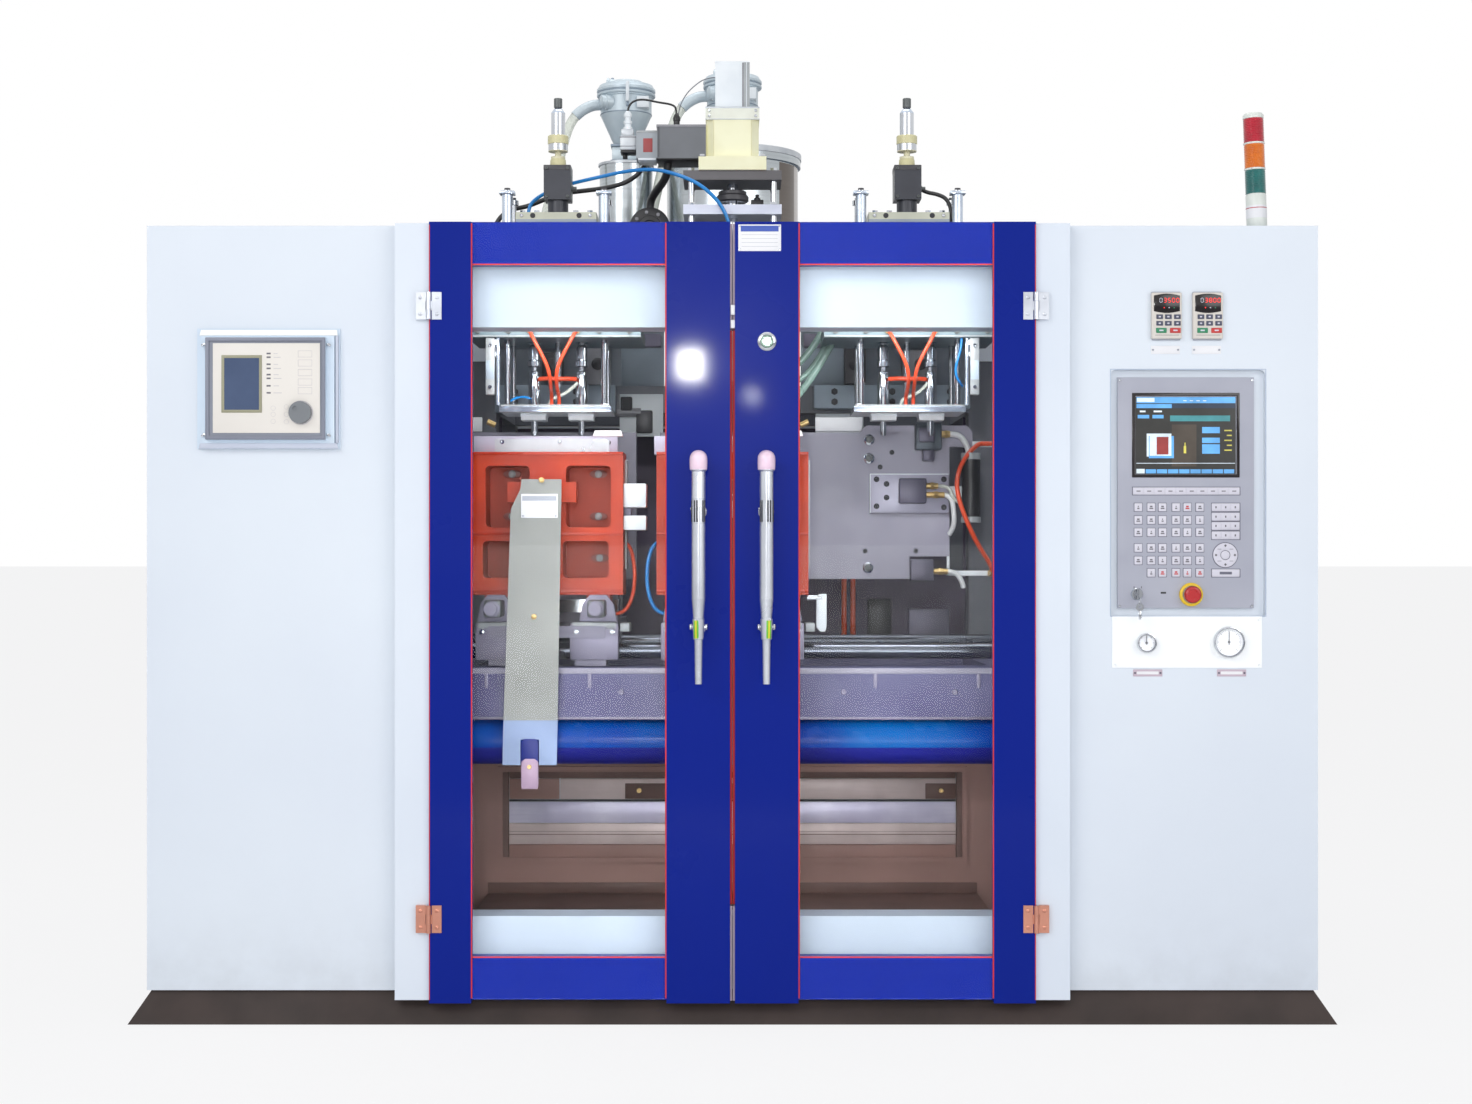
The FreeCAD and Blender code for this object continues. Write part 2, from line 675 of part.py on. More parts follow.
def blow_bridge():
    plate_y = (parting_y - 150, parting_y + 150)
    plate = slab(0, 230, plate_y, (fixed_plate_z, fixed_plate_z + fixed_plate_thickness))
    plate_top = fixed_plate_z + fixed_plate_thickness
    holes = [rod_z(x, parting_y + dy, (fixed_plate_z - 1, plate_top + 1), blow_rod_r + running_clearance)
             for x in (-blow_rod_x, blow_rod_x) for dy in (-blow_rod_dy, blow_rod_dy)]
    holes += [rod_z(x, parting_y, (fixed_plate_z - 1, plate_top + 1), 20)
              for x in (-cavity_pitch / 2, cavity_pitch / 2)]
    holes.append(rod_z(0, parting_y, (fixed_plate_z - 1, plate_top + 1), piston_rod_r + running_clearance))
    plate = ring_holes(plate, holes)
    stand = tube_block((-stand_half_x, stand_half_x), (parting_y - 75, parting_y + 75),
                       (plate_top, stand_top_z - 18), 12, 2)
    window_hole = slab(0, 60, (parting_y - 80, parting_y + 80), (plate_top + 60, stand_top_z - 80))
    cap = slab(0, stand_half_x, (parting_y - 75, parting_y + 75), (stand_top_z - 18, stand_top_z))
    cap = cap.cut(rod_z(0, parting_y, (stand_top_z - 20, stand_top_z + 1), blow_cylinder_r))
    hangers = [rod_z(x, parting_y + dy, (plate_top, roof_z - roof_beam), 15)
               for x in (-190, 190) for dy in (-120, 120)]
    return fused([plate, stand.cut(window_hole), cap] + hangers)


def blow_cylinder():
    width, block_z, top_z = blow_block
    bottom_z = fixed_plate_z + fixed_plate_thickness
    body = rod_z(0, parting_y, (bottom_z, block_z), blow_cylinder_r)
    head = slab(0, width / 2, (parting_y - width / 2, parting_y + width / 2), (block_z, top_z))
    nut = rod_z(0, parting_y, (top_z, top_z + 35), 19.5)
    gland = rod_z(0, parting_y, (bottom_z - 1, top_z + 36), piston_rod_r + running_clearance)
    bore = rod_z(0, parting_y, (bottom_z + 20, block_z + 10), 22)
    return fused([body, head, nut]).cut(gland).cut(bore)


def blow_frame():
    plate_top = blow_plate_z + blow_plate_thickness
    solids = [slab(0, 148.5, (parting_y - 100, parting_y + 100), (blow_plate_z, plate_top))]
    for x in (-blow_rod_x, blow_rod_x):
        for dy in (-blow_rod_dy, blow_rod_dy):
            cap_z = blow_rod_top_z - 12
            solids.append(turned_z(x, parting_y + dy, [(blow_rod_r, plate_top), (blow_rod_r, cap_z),
                                                       (14, cap_z), (14, blow_rod_top_z)]))
    for x in (-cavity_pitch / 2, cavity_pitch / 2):
        pad = slab(x, 33.5, (parting_y - 34, parting_y + 34), (blow_plate_z - 18, blow_plate_z))
        pin = turned_z(x, parting_y, [(6, 1460), (9, 1470), (9, blow_plate_z - 18), (12, blow_plate_z - 18),
                                      (12, 1632), (7, 1634), (7, 1645), (16, 1647), (16, 1662), (13, 1664),
                                      (13, 1700), (10, 1705), (10, 1860)])
        solids[0] = solids[0].cut(pin)
        solids += [pad.cut(pin), pin]
    piston_z = 1790
    rod = turned_z(0, parting_y, [(piston_rod_r, plate_top), (piston_rod_r, piston_z), (21.9, piston_z),
                                  (21.9, piston_z + 24), (piston_rod_r, piston_z + 24),
                                  (piston_rod_r, 2228), (26.5, 2228), (26.5, 2252), (19, 2252),
                                  (19, 2331), (9.2, 2331), (9.2, 2372)])
    return solids + [rod]


# ---- die head and extruder ----

die_x = (-cavity_pitch / 2, cavity_pitch / 2)


def die_head():
    y = (parting_y - head_half_y, parting_y + head_half_y)
    body = slab(0, head_half_x, y, head_z)
    flange = slab(0, 200, (-430, -180), (head_z[1], head_z[1] + 18))
    profile = [(die_r, die_tip_z), (die_r, 1540), (die_r + 14, 1545), (die_r + 14, head_z[0])]
    dies = [turned_z(x, parting_y, profile) for x in die_x]
    head = fused([body, flange] + dies)
    for x in die_x:
        head = head.cut(rod_z(x, parting_y, (1700, 1920), core_r + running_clearance))
        head = head.cut(rod_z(x, parting_y, (die_tip_z - 1, 1700), 30))
    return head.cut(rod_y(0, extruder_z, (parting_y, y[1] + 1), 18))


def actuator_rod():
    yoke = block((-85, 85), (parting_y - 20, parting_y + 20), (1940, 1962))
    cores = [turned_z(x, parting_y, [(25, die_tip_z - 2), (27, die_tip_z + 10), (core_r, die_tip_z + 40),
                                     (core_r, 1945)]) for x in die_x]
    stem = turned_z(0, parting_y, [(14.5, 1955), (14.5, 2090), (36.5, 2090), (36.5, 2118), (14.5, 2118),
                                   (14.5, 2205), (45, 2205), (45, 2225)])
    return fused([yoke, stem] + cores)


def actuator_frame():
    half_x = 131.5
    y = (parting_y - 80, parting_y + 80)
    bore = rod_z(0, parting_y, (2000, 2200), 14.5 + running_clearance)
    plates = [slab(0, half_x, y, z).cut(bore) for z in actuator_plates_z]
    flange_top = head_z[1] + 18
    posts = [rod_z(x, parting_y + dy, (flange_top, actuator_plates_z[1][1]), 8)
             for x in (-110, 110) for dy in (-60, 60)]
    return fused(plates + posts)


def parison_actuator():
    base_z = actuator_plates_z[1][1]
    flange = slab(0, 90.5, (parting_y - 90, parting_y + 90), (base_z, 2200))
    half = 70.5
    corner = 20
    outline = [(-half + corner, -half), (half - corner, -half), (half, -half + corner), (half, half - corner),
               (half - corner, half), (-half + corner, half), (-half, half - corner), (-half, -half + corner)]
    points = [FreeCAD.Vector(x, parting_y + y, 2199) for x, y in outline]
    body = Part.Face(Part.makePolygon(points + points[:1])).extrude(FreeCAD.Vector(0, 0, 103))
    cap = slab(0, 72, (parting_y - 72, parting_y + 72), (2302, 2335))
    gland = rod_z(0, parting_y, (base_z - 1, 2200), 14.5 + running_clearance)
    bore = rod_z(0, parting_y, (2188, 2245), 45.1)
    column = slab(0, 46, (parting_y - 40, parting_y + 40), (2335, 2462))
    servo_y = (parting_y - 60, parting_y + 60)
    servo = block((-202, -70.5), servo_y, (2200, 2289))
    socket_box = block((-259, -202), (servo_y[0] + 20, servo_y[1] - 20), (2204, 2277))
    valve = rod_y(-226, 2031, (-250, -190), 55).fuse(block((-290, -200), (-245, -195), (roof_z, 1985)))
    return [fused([flange, body, cap]).cut(gland).cut(bore), column, servo, socket_box,
            valve.removeSplitter()]


def extruder_barrel():
    tube = rod_y(0, extruder_z, (barrel_front_y, throat_y[0]), barrel_r)
    throat = slab(0, 100, throat_y, (platform_z, 1900))
    bore = rod_y(0, extruder_z, (barrel_front_y + 60, throat_y[1] + 1), barrel_bore_r)
    nozzle = rod_y(0, extruder_z, (barrel_front_y - 1, barrel_front_y + 61), 18)
    feed = rod_z(0, hopper_y, (extruder_z, 1901), 30)
    return tube.fuse(throat).cut(bore).cut(nozzle).cut(feed).removeSplitter()


def extruder_screw():
    start = barrel_front_y + 65
    shaft = rod_y(0, extruder_z, (start, gearbox_y[0] + 40), 20)
    flight_end = throat_y[1] - 20
    pitch = 54
    count = int((flight_end - start) / pitch)
    helix = Part.makeLongHelix(pitch, count * pitch, 22, 0)
    tooth = [(18, 0), (screw_r, 0), (screw_r, 6), (18, 6)]
    points = [FreeCAD.Vector(r, 0, z - 3) for r, z in tooth]
    profile = Part.makePolygon(points + points[:1])
    flight = Part.Wire(helix.Edges).makePipeShell([profile], True, True)
    flight.rotate(FreeCAD.Vector(0, 0, 0), FreeCAD.Vector(1, 0, 0), -90)
    flight.translate(FreeCAD.Vector(0, start + 10, extruder_z))
    return shaft.fuse(flight)


def extruder_drive():
    box = slab(0, 140, gearbox_y, (platform_z, 1960))
    gearbox = box.cut(rod_y(0, extruder_z, (gearbox_y[0] - 1, gearbox_y[0] + 60), 20 + running_clearance))
    y = (gearbox_y[0] + gearbox_y[1]) / 2
    motor = turned_z(0, y, [(60, 1240), (75, 1250), (75, 1600), (78, 1600), (78, platform_z)])
    return [gearbox, motor]


drum_r = 200
drum_top_z = 2320
side_drum_r = 81
side_drum_top_z = 2333


def material_hoppers():
    main = turned_z(0, hopper_y, [(50, 1900), (50, 1925), (drum_r, 2020), (drum_r, drum_top_z),
                                  (drum_r + 8, drum_top_z), (drum_r + 8, 2359)])
    hollow = turned_z(0, hopper_y, [(30, 1899), (30, 1925), (drum_r - 3, 2022), (drum_r - 3, drum_top_z)])
    feeder = slab(side_hopper_x, 40, (hopper_y - 40, hopper_y + 40), (1960, 2060))
    drum = turned_z(side_hopper_x, hopper_y, [(40, 2060), (side_drum_r, 2110),
                                              (side_drum_r, side_drum_top_z)])
    chute_start = FreeCAD.Vector(side_hopper_x + 40, hopper_y, 2000)
    chute_end = FreeCAD.Vector(-96, hopper_y, 1840)
    run = chute_end - chute_start
    pipe = Part.makeCylinder(25, run.Length, chute_start, run)
    pipe = pipe.cut(slab(0, 100, throat_y, (platform_z, 1900))).cut(feeder)
    return [main.cut(hollow), feeder, drum, pipe]


def loader(x, base_z):
    gate = slab(x, 45, (hopper_y - 45, hopper_y + 45), (base_z, base_z + 55))
    body = turned_z(x, hopper_y, [(40, base_z + 55), (78, base_z + 150), (78, base_z + 202),
                                  (89.5, base_z + 202), (89.5, base_z + 234), (60, base_z + 240),
                                  (52, base_z + 260)])
    inlet = rod_x(hopper_y, base_z + 176, (x - 150, x - 70), 22)
    return fused([gate, body, inlet])


# ---- hoses ----

def hose(points, r):
    """Tube of radius r whose route is straight runs joined by tangent arcs; points are (x, y, z)."""
    nodes = [FreeCAD.Vector(*p) for p in points]
    edges = []
    start = nodes[0]
    radii = []
    for before, corner, after in zip(nodes, nodes[1:], nodes[2:]):
        back = (before - corner).normalize()
        ahead = (after - corner).normalize()
        turn = math.pi - back.getAngle(ahead)
        reach = 0.45 * min((before - corner).Length, (after - corner).Length)
        radii.append(round(reach / math.tan(turn / 2), 1))
        first = corner + back * reach
        last = corner + ahead * reach
        to_centre = (back + ahead).normalize()
        centre_distance = reach / math.sin(turn / 2)
        middle = corner + to_centre * (centre_distance - reach / math.tan(turn / 2))
        edges.append(Part.LineSegment(start, first).toShape())
        edges.append(Part.Arc(first, middle, last).toShape())
        start = last
    edges.append(Part.LineSegment(start, nodes[-1]).toShape())
    route = Part.Wire(edges)
    circle = Part.Wire(Part.makeCircle(r, nodes[0], nodes[1] - nodes[0]))
    tube = route.makePipeShell([circle], True, False)
    print("hose", round(route.Length), "mm, tightest arc", min(radii), "volume ratio",
          round(tube.Volume / (math.pi * r * r * route.Length), 3))
    return tube


# routes of the hoses, each from its fitting to its fitting
blue_hose_route = [(-556, -275, 2053), (-556, -275, 2085), (-532, -264, 2112), (-490, -257, 2135),
                   (-435, -256, 2153), (-365, -275, 2165), (-285, -312, 2176), (-210, -356, 2173),
                   (-150, -397, 2152), (-95, -412, 2127), (-58, -414, 2098), (-30, -414, 2066),
                   (-12, -412, 2030), (-3, -408, 1985), (0, -405, 1945), (0, -405, 1918)]
black_hose_route = [(-665, -200, 1930), (-665, -200, 1980), (-661, -199, 2030), (-640, -197, 2072),
                    (-606, -195, 2092), (-568, -195, 2098), (-528, -195, 2114), (-480, -195, 2134),
                    (-420, -195, 2141), (-350, -195, 2149), (-292, -196, 2164), (-252, -202, 2192),
                    (-236, -218, 2220), (-230, -244, 2238), (-230, -265, 2238)]
servo_cable_route = [(-175, -305, 2200), (-175, -305, 2176), (-186, -286, 2152), (-208, -252, 2132),
                     (-226, -220, 2110), (-226, -220, 2086)]


def blow_hoses():
    """Air hoses from the front edge of the fixed plate to the moving plate, modelled about x = 0."""
    start_y = parting_y - 150
    end_z = blow_plate_z + blow_plate_thickness
    routes = [[(side * 62, start_y, 1727), (side * 62, start_y - 22, 1727), (side * 50, start_y - 35, 1703),
               (side * 29, start_y - 35, 1664), (side * 12, start_y - 28, 1628),
               (side * 8, start_y - 14, 1598), (side * 8, start_y + 14, 1578),
               (side * 9, start_y + 44, 1568), (side * 10, start_y + 62, 1554),
               (side * 10, start_y + 62, end_z)] for side in (-1, 1)]
    return [hose(route, 5) for route in routes]


# ---- export ----

def moved(solids, x):
    return [solid.translated(FreeCAD.Vector(x, 0, 0)) for solid in solids]


def as_list(shape):
    return shape if isinstance(shape, list) else [shape]


def save(name, shape):
    solids = [solid for item in as_list(shape) for solid in item.Solids]
    for solid in solids:
        if not solid.isValid():
            print("not valid:", name)
    result = solids[0] if len(solids) == 1 else Part.makeCompound(solids)
    result.exportStep("parts/" + name + ".step")
    print(name, len(solids), "solids")


def both_doors(builders):
    for name, build in builders.items():
        solids = as_list(build())
        save("right_" + name, solids)
        save("left_" + name, [mirrored(solid) for solid in solids])


def main():
    os.makedirs("parts", exist_ok=True)
    frame_nodes = {
        "plinth_skirt": plinth_skirt, "base_frame": base_frame, "right_cabinet": right_cabinet,
        "bay_panels": bay_panels, "bulkhead": bulkhead, "fixed_hinge_leaves": fixed_hinge_leaves,
        "lock_plug": lock_plug, "controller_case": controller_case, "controller_knob": controller_knob,
        "hmi_panel": hmi_panel, "estop_head": estop_head, "key_switch_plug": key_switch_plug,
        "gauge_panel": gauge_panel, "signal_tower": signal_tower, "machine_bed": machine_bed,
        "blue_apron": blue_apron, "guide_rods": guide_rods, "main_frame": main_frame,
        "conveyor_frame": conveyor_frame, "conveyor_belt": conveyor_belt, "conveyor_roller": conveyor_roller,
        "hydraulic_unit": hydraulic_unit, "die_head": die_head, "actuator_rod": actuator_rod,
        "actuator_frame": actuator_frame, "parison_actuator": parison_actuator,
        "extruder_barrel": extruder_barrel, "extruder_screw": extruder_screw,
        "extruder_drive": extruder_drive,
        "material_hoppers": material_hoppers,
    }
    for name, build in frame_nodes.items():
        save(name, build())
    save("left_cabinet", mirrored(cabinet_shell()))
    save("small_gauge_needle", gauge_needle(*small_gauge))
    save("large_gauge_needle", gauge_needle(*large_gauge))
    save("hopper_loaders", [loader(0, 2359), loader(side_hopper_x, side_drum_top_z)])
    save("right_door_frame", right_door_frame())
    save("left_door_frame", mirrored(door_frame()))
    both_doors({"window": window, "handle": handle, "hinge_leaves": door_hinge_leaves})
    for station, x in (("left", -station_x), ("right", 0)):
        rear = rear_platen() if station == "right" else mirrored(rear_platen())
        save(station + "_carriage", moved(carriage(), x))
        save(station + "_front_platen", moved(front_platen(), x))
        save(station + "_rear_platen", moved([rear], x))
        save(station + "_front_mould", moved([mould_half(True)], x))
        save(station + "_rear_mould", moved([mould_half(False)], x))
    bridges = moved([blow_bridge()], -station_x) + moved([blow_bridge()], station_x)
    save("blow_bridges", bridges)
    save("blow_cylinders", moved([blow_cylinder()], -station_x) + moved([blow_cylinder()], station_x))
    for station, x in (("left", -station_x), ("right", station_x)):
        save(station + "_blow_frame", moved(blow_frame(), x))
        save(station + "_blow_hoses", moved(blow_hoses(), x))
    save("blue_hose", hose(blue_hose_route, 5))
    save("black_hoses", [hose(black_hose_route, 6.5), hose(servo_cable_route, 11)])


main()
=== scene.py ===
import bpy
import bmesh
from math import cos, pi, radians, sin, tau
from mathutils import Matrix, Vector


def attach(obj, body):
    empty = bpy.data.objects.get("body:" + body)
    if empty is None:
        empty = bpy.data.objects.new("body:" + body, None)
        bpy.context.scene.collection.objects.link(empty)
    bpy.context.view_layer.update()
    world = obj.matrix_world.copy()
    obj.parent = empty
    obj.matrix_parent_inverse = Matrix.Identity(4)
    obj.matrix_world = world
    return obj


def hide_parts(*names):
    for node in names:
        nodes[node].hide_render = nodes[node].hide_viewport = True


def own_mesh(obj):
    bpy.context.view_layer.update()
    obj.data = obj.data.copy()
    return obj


# Double-station blow moulding machine: +X right, +Y to the back, +Z up, floor at Z 0.
# Sizes are millimetres, colours are 0-255.
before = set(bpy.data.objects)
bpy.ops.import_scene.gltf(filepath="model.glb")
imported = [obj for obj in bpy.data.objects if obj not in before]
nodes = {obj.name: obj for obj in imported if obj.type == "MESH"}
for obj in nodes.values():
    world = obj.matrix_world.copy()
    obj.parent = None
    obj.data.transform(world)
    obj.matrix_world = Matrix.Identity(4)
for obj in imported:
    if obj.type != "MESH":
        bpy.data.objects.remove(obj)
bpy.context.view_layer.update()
mm = 0.001
far = 9000
upward, forward = (0, 0, 1), (0, -1, 0)
sides = (-1, 1)
stations = (("left", -472), ("right", 472))
print("frame loaded:", len(nodes), "nodes")

# shape helpers


def stamp(bm, part, index=0, matrix=None):
    # adds one finished shape to the piece, with faces pointing out
    if matrix:
        bmesh.ops.transform(part, matrix=matrix, verts=part.verts)
    bmesh.ops.recalc_face_normals(part, faces=part.faces)
    for face in part.faces:
        face.material_index = index
    mesh = bpy.data.meshes.new("stamp")
    part.to_mesh(mesh)
    part.free()
    bm.from_mesh(mesh)
    bpy.data.meshes.remove(mesh)


def aimed(origin, direction):
    turn = Vector(upward).rotation_difference(Vector(direction))
    return Matrix.Translation(origin) @ turn.to_matrix().to_4x4()


def softened(part, edges, size, segments=2):
    bmesh.ops.bevel(part, geom=edges, offset=size, segments=segments, profile=0.5,
                    affect="EDGES", material=-1, clamp_overlap=True)


def thickened(part, depth):
    # pulls the flat faces of a shape out along Y
    grown = bmesh.ops.extrude_face_region(part, geom=part.faces[:])["geom"]
    verts = [item for item in grown if isinstance(item, bmesh.types.BMVert)]
    bmesh.ops.translate(part, vec=(0, depth, 0), verts=verts)


def addBox(bm, low, high, index=0, soft=0, segments=2):
    part = bmesh.new()
    size = [b - a for a, b in zip(low, high)]
    middle = [(a + b) / 2 for a, b in zip(low, high)]
    bmesh.ops.create_cube(part, size=1, matrix=Matrix.Translation(middle) @ Matrix.Diagonal((*size, 1)))
    if soft:
        softened(part, part.edges[:], soft, segments)
    stamp(bm, part, index)


def addRod(bm, start, end, radius, index=0, segments=24, soft=0):
    part = bmesh.new()
    run = Vector(end) - Vector(start)
    bmesh.ops.create_cone(part, cap_ends=True, segments=segments, radius1=radius, radius2=radius,
                          depth=run.length)
    if soft:
        rims = [edge for edge in part.edges if abs(edge.verts[0].co.z - edge.verts[1].co.z) < 1e-4]
        softened(part, rims, soft)
    stamp(bm, part, index, aimed((Vector(start) + Vector(end)) / 2, run))


def addTurned(bm, origin, direction, profile, index=0, segments=32):
    # profile is (radius, height) pairs along the direction
    part = bmesh.new()
    verts = [part.verts.new((r, 0, h)) for r, h in profile]
    edges = [part.edges.new(pair) for pair in zip(verts, verts[1:])]
    bmesh.ops.spin(part, geom=verts + edges, cent=(0, 0, 0), axis=upward, angle=tau, steps=segments,
                   use_merge=True)
    bmesh.ops.remove_doubles(part, verts=part.verts, dist=0.001)
    stamp(bm, part, index, aimed(origin, direction))


def addPost(bm, origin, *values):
    addTurned(bm, origin, upward, *values)


def addDisc(bm, origin, *values):
    addTurned(bm, origin, forward, *values)


def addPlate(bm, outline, y, index=0, soft=0):
    # flat plate in the X-Z plane between two Y values
    part = bmesh.new()
    part.faces.new([part.verts.new((x, y[0], z)) for x, z in outline])
    thickened(part, y[1] - y[0])
    if soft:
        softened(part, part.edges[:], soft)
    stamp(bm, part, index)


def addFrame(bm, x, z, y, border, index=0, soft=0):
    # rectangular picture-frame border in the X-Z plane
    part = bmesh.new()
    outer, inner = [[part.verts.new((px, y[0], pz)) for px, pz in (
        (x[0] + inset, z[0] + inset), (x[1] - inset, z[0] + inset), (x[1] - inset, z[1] - inset),
        (x[0] + inset, z[1] - inset))] for inset in (0, border)]
    for i in range(4):
        part.faces.new((outer[i - 1], outer[i], inner[i], inner[i - 1]))
    thickened(part, y[1] - y[0])
    if soft:
        softened(part, [edge for edge in part.edges if len(edge.link_faces) == 2
                        and edge.calc_face_angle() > 0.5], soft)
    stamp(bm, part, index)


def addHex(bm, start, end, width, index=0):
    # hexagon head or nut, width across its flats
    addRod(bm, start, end, width / 2 / cos(pi / 6), index, 6, width * 0.04)


def addScrew(bm, place, size, index=0):
    # cap screw with a hexagon socket, its head standing out of the front
    r = size * 0.8
    addDisc(bm, place, [(0, 0), (r, 0), (r, size * 0.75), (r * 0.88, size * 0.9), (size * 0.46, size * 0.9),
                        (size * 0.42, size * 0.45), (0, size * 0.4)], index, 16)


def addBolt(bm, place, height, *values):
    # hexagon head standing up
    addHex(bm, place, (*place[:2], place[2] + height), *values)


def addHead(bm, place, height, *values):
    # hexagon head standing out of the front
    addHex(bm, place, (place[0], place[1] - height, place[2]), *values)


def placed(name, data, body, replaced=()):
    piece = bpy.data.objects.new(name, data)
    bpy.context.scene.collection.objects.link(piece)
    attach(piece, body)
    for node in replaced:
        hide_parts(node)
    return piece


def finishPiece(name, bm, body, finishes, replaced=()):
    smoothBelow = radians(38)
    bmesh.ops.scale(bm, vec=(mm, mm, mm), verts=bm.verts)
    mesh = bpy.data.meshes.new(name)
    bm.to_mesh(mesh)
    bm.free()
    for key in finishes:
        mesh.materials.append(looks[key])
    mesh.polygons.foreach_set("use_smooth", [True] * len(mesh.polygons))
    mesh.set_sharp_from_angle(angle=smoothBelow)
    return placed(name, mesh, body, replaced)


builders = {"rod": addRod, "turn": addTurned, "post": addPost, "disc": addDisc, "plate": addPlate,
            "hex": addHex, "screw": addScrew, "frame": addFrame, "bolt": addBolt, "head": addHead}


def built(name, body, finishes, parts, shift=0, flip=False, replaced=(), matrix=None):
    # one piece from rows of shapes, mirrored, moved along X or set by a matrix; a row with no kind is a box
    bm = bmesh.new()
    for kind, *values in parts:
        if kind in builders:
            builders[kind](bm, *values)
        else:
            addBox(bm, kind, *values)
    if flip:
        bmesh.ops.scale(bm, vec=(-1, 1, 1), verts=bm.verts)
        bmesh.ops.recalc_face_normals(bm, faces=bm.faces)
    bmesh.ops.transform(bm, matrix=matrix or Matrix.Translation((shift, 0, 0)), verts=bm.verts)
    return finishPiece(name, bm, body, finishes, replaced)


def steeredCurve(name, points, steps):
    # the route's points steer a NURBS spline
    curve = bpy.data.curves.new(name, "CURVE")
    curve.dimensions = "3D"
    curve.resolution_u = steps
    spline = curve.splines.new("NURBS")
    spline.points.add(len(points) - 1)
    for target, point in zip(spline.points, points):
        target.co = (*(Vector(point) * mm), 1)
    spline.order_u = 3
    spline.use_endpoint_u = True
    return curve


def makeTube(curve, radius, look):
    curve.bevel_depth = radius * mm
    curve.bevel_resolution = 4
    curve.use_fill_caps = True
    curve.materials.append(looks[look])


def routeCurve(name, points, radius, look, body, replaced=()):
    # smooth hose or pipe
    curve = steeredCurve(name, points, 8)
    makeTube(curve, radius, look)
    return placed(name, curve, body, replaced)


def hoseLength(points):
    # measured on a bare copy, in metres
    holder = bpy.data.objects.new("measure", steeredCurve("measure", points, 16))
    mesh = bpy.data.meshes.new_from_object(holder)
    length = sum((mesh.vertices[e.vertices[0]].co - mesh.vertices[e.vertices[1]].co).length
                 for e in mesh.edges)
    bpy.data.objects.remove(holder)
    return length


def hose(name, points, radius, look, body, slotName, stiffness="medium", fittings=(), replaced=(),
         farEnd="object"):
    # tube along the route, and its length measured
    piece = routeCurve(name, points, radius, look, body, replaced)
    length = hoseLength(points)


# finish helpers


def rgb(colour, share=1):
    def channel(value):
        value /= 255
        return value / 12.92 if value <= 0.04045 else ((value + 0.055) / 1.055) ** 2.4
    return (*[channel(value * share) for value in colour], 1.0)


def newGroup(name, inputs, outputs):
    group = bpy.data.node_groups.new(name, "ShaderNodeTree")
    for label, (kind, value) in inputs.items():
        socket = group.interface.new_socket(label, in_out="INPUT", socket_type="NodeSocket" + kind)
        socket.default_value = value
    for label, kind in outputs.items():
        group.interface.new_socket(label, in_out="OUTPUT", socket_type="NodeSocket" + kind)
    return group, group.nodes.new("NodeGroupInput").outputs, group.nodes.new("NodeGroupOutput")


def feed(tree, node, values):
    # sets a node's inputs, or links them where a socket is given
    for key, value in values.items():
        if isinstance(value, bpy.types.NodeSocket):
            tree.links.new(value, node.inputs[key])
        else:
            node.inputs[key].default_value = value


def addNode(tree, kind, values=None, output=0, **settings):
    node = tree.nodes.new("ShaderNode" + kind)
    for key, value in settings.items():
        setattr(node, key, value)
    feed(tree, node, values or {})
    return node.outputs[output]


def mathNode(tree, operation, a, b, clamp=False):
    return addNode(tree, "Math", {0: a, 1: b}, operation=operation, use_clamp=clamp)


def vectorMath(tree, operation, a, b):
    return addNode(tree, "VectorMath", {0: a, 1: b}, operation=operation)


def mixValue(tree, factor, a, b):
    return addNode(tree, "Mix", {0: factor, 2: a, 3: b}, 0, data_type="FLOAT")


def mixColour(tree, factor, a, b):
    return addNode(tree, "Mix", {0: factor, 6: a, 7: b}, 2, data_type="RGBA")


def noiseNode(tree, vector, scale, detail=3.0, roughness=0.55):
    return addNode(tree, "TexNoise", {
        "Vector": vector, "Scale": scale, "Detail": detail, "Roughness": roughness}, "Fac")


def stretch(tree, value, low, high):
    return addNode(tree, "MapRange", {"Value": value, "From Min": low, "From Max": high}, "Result")


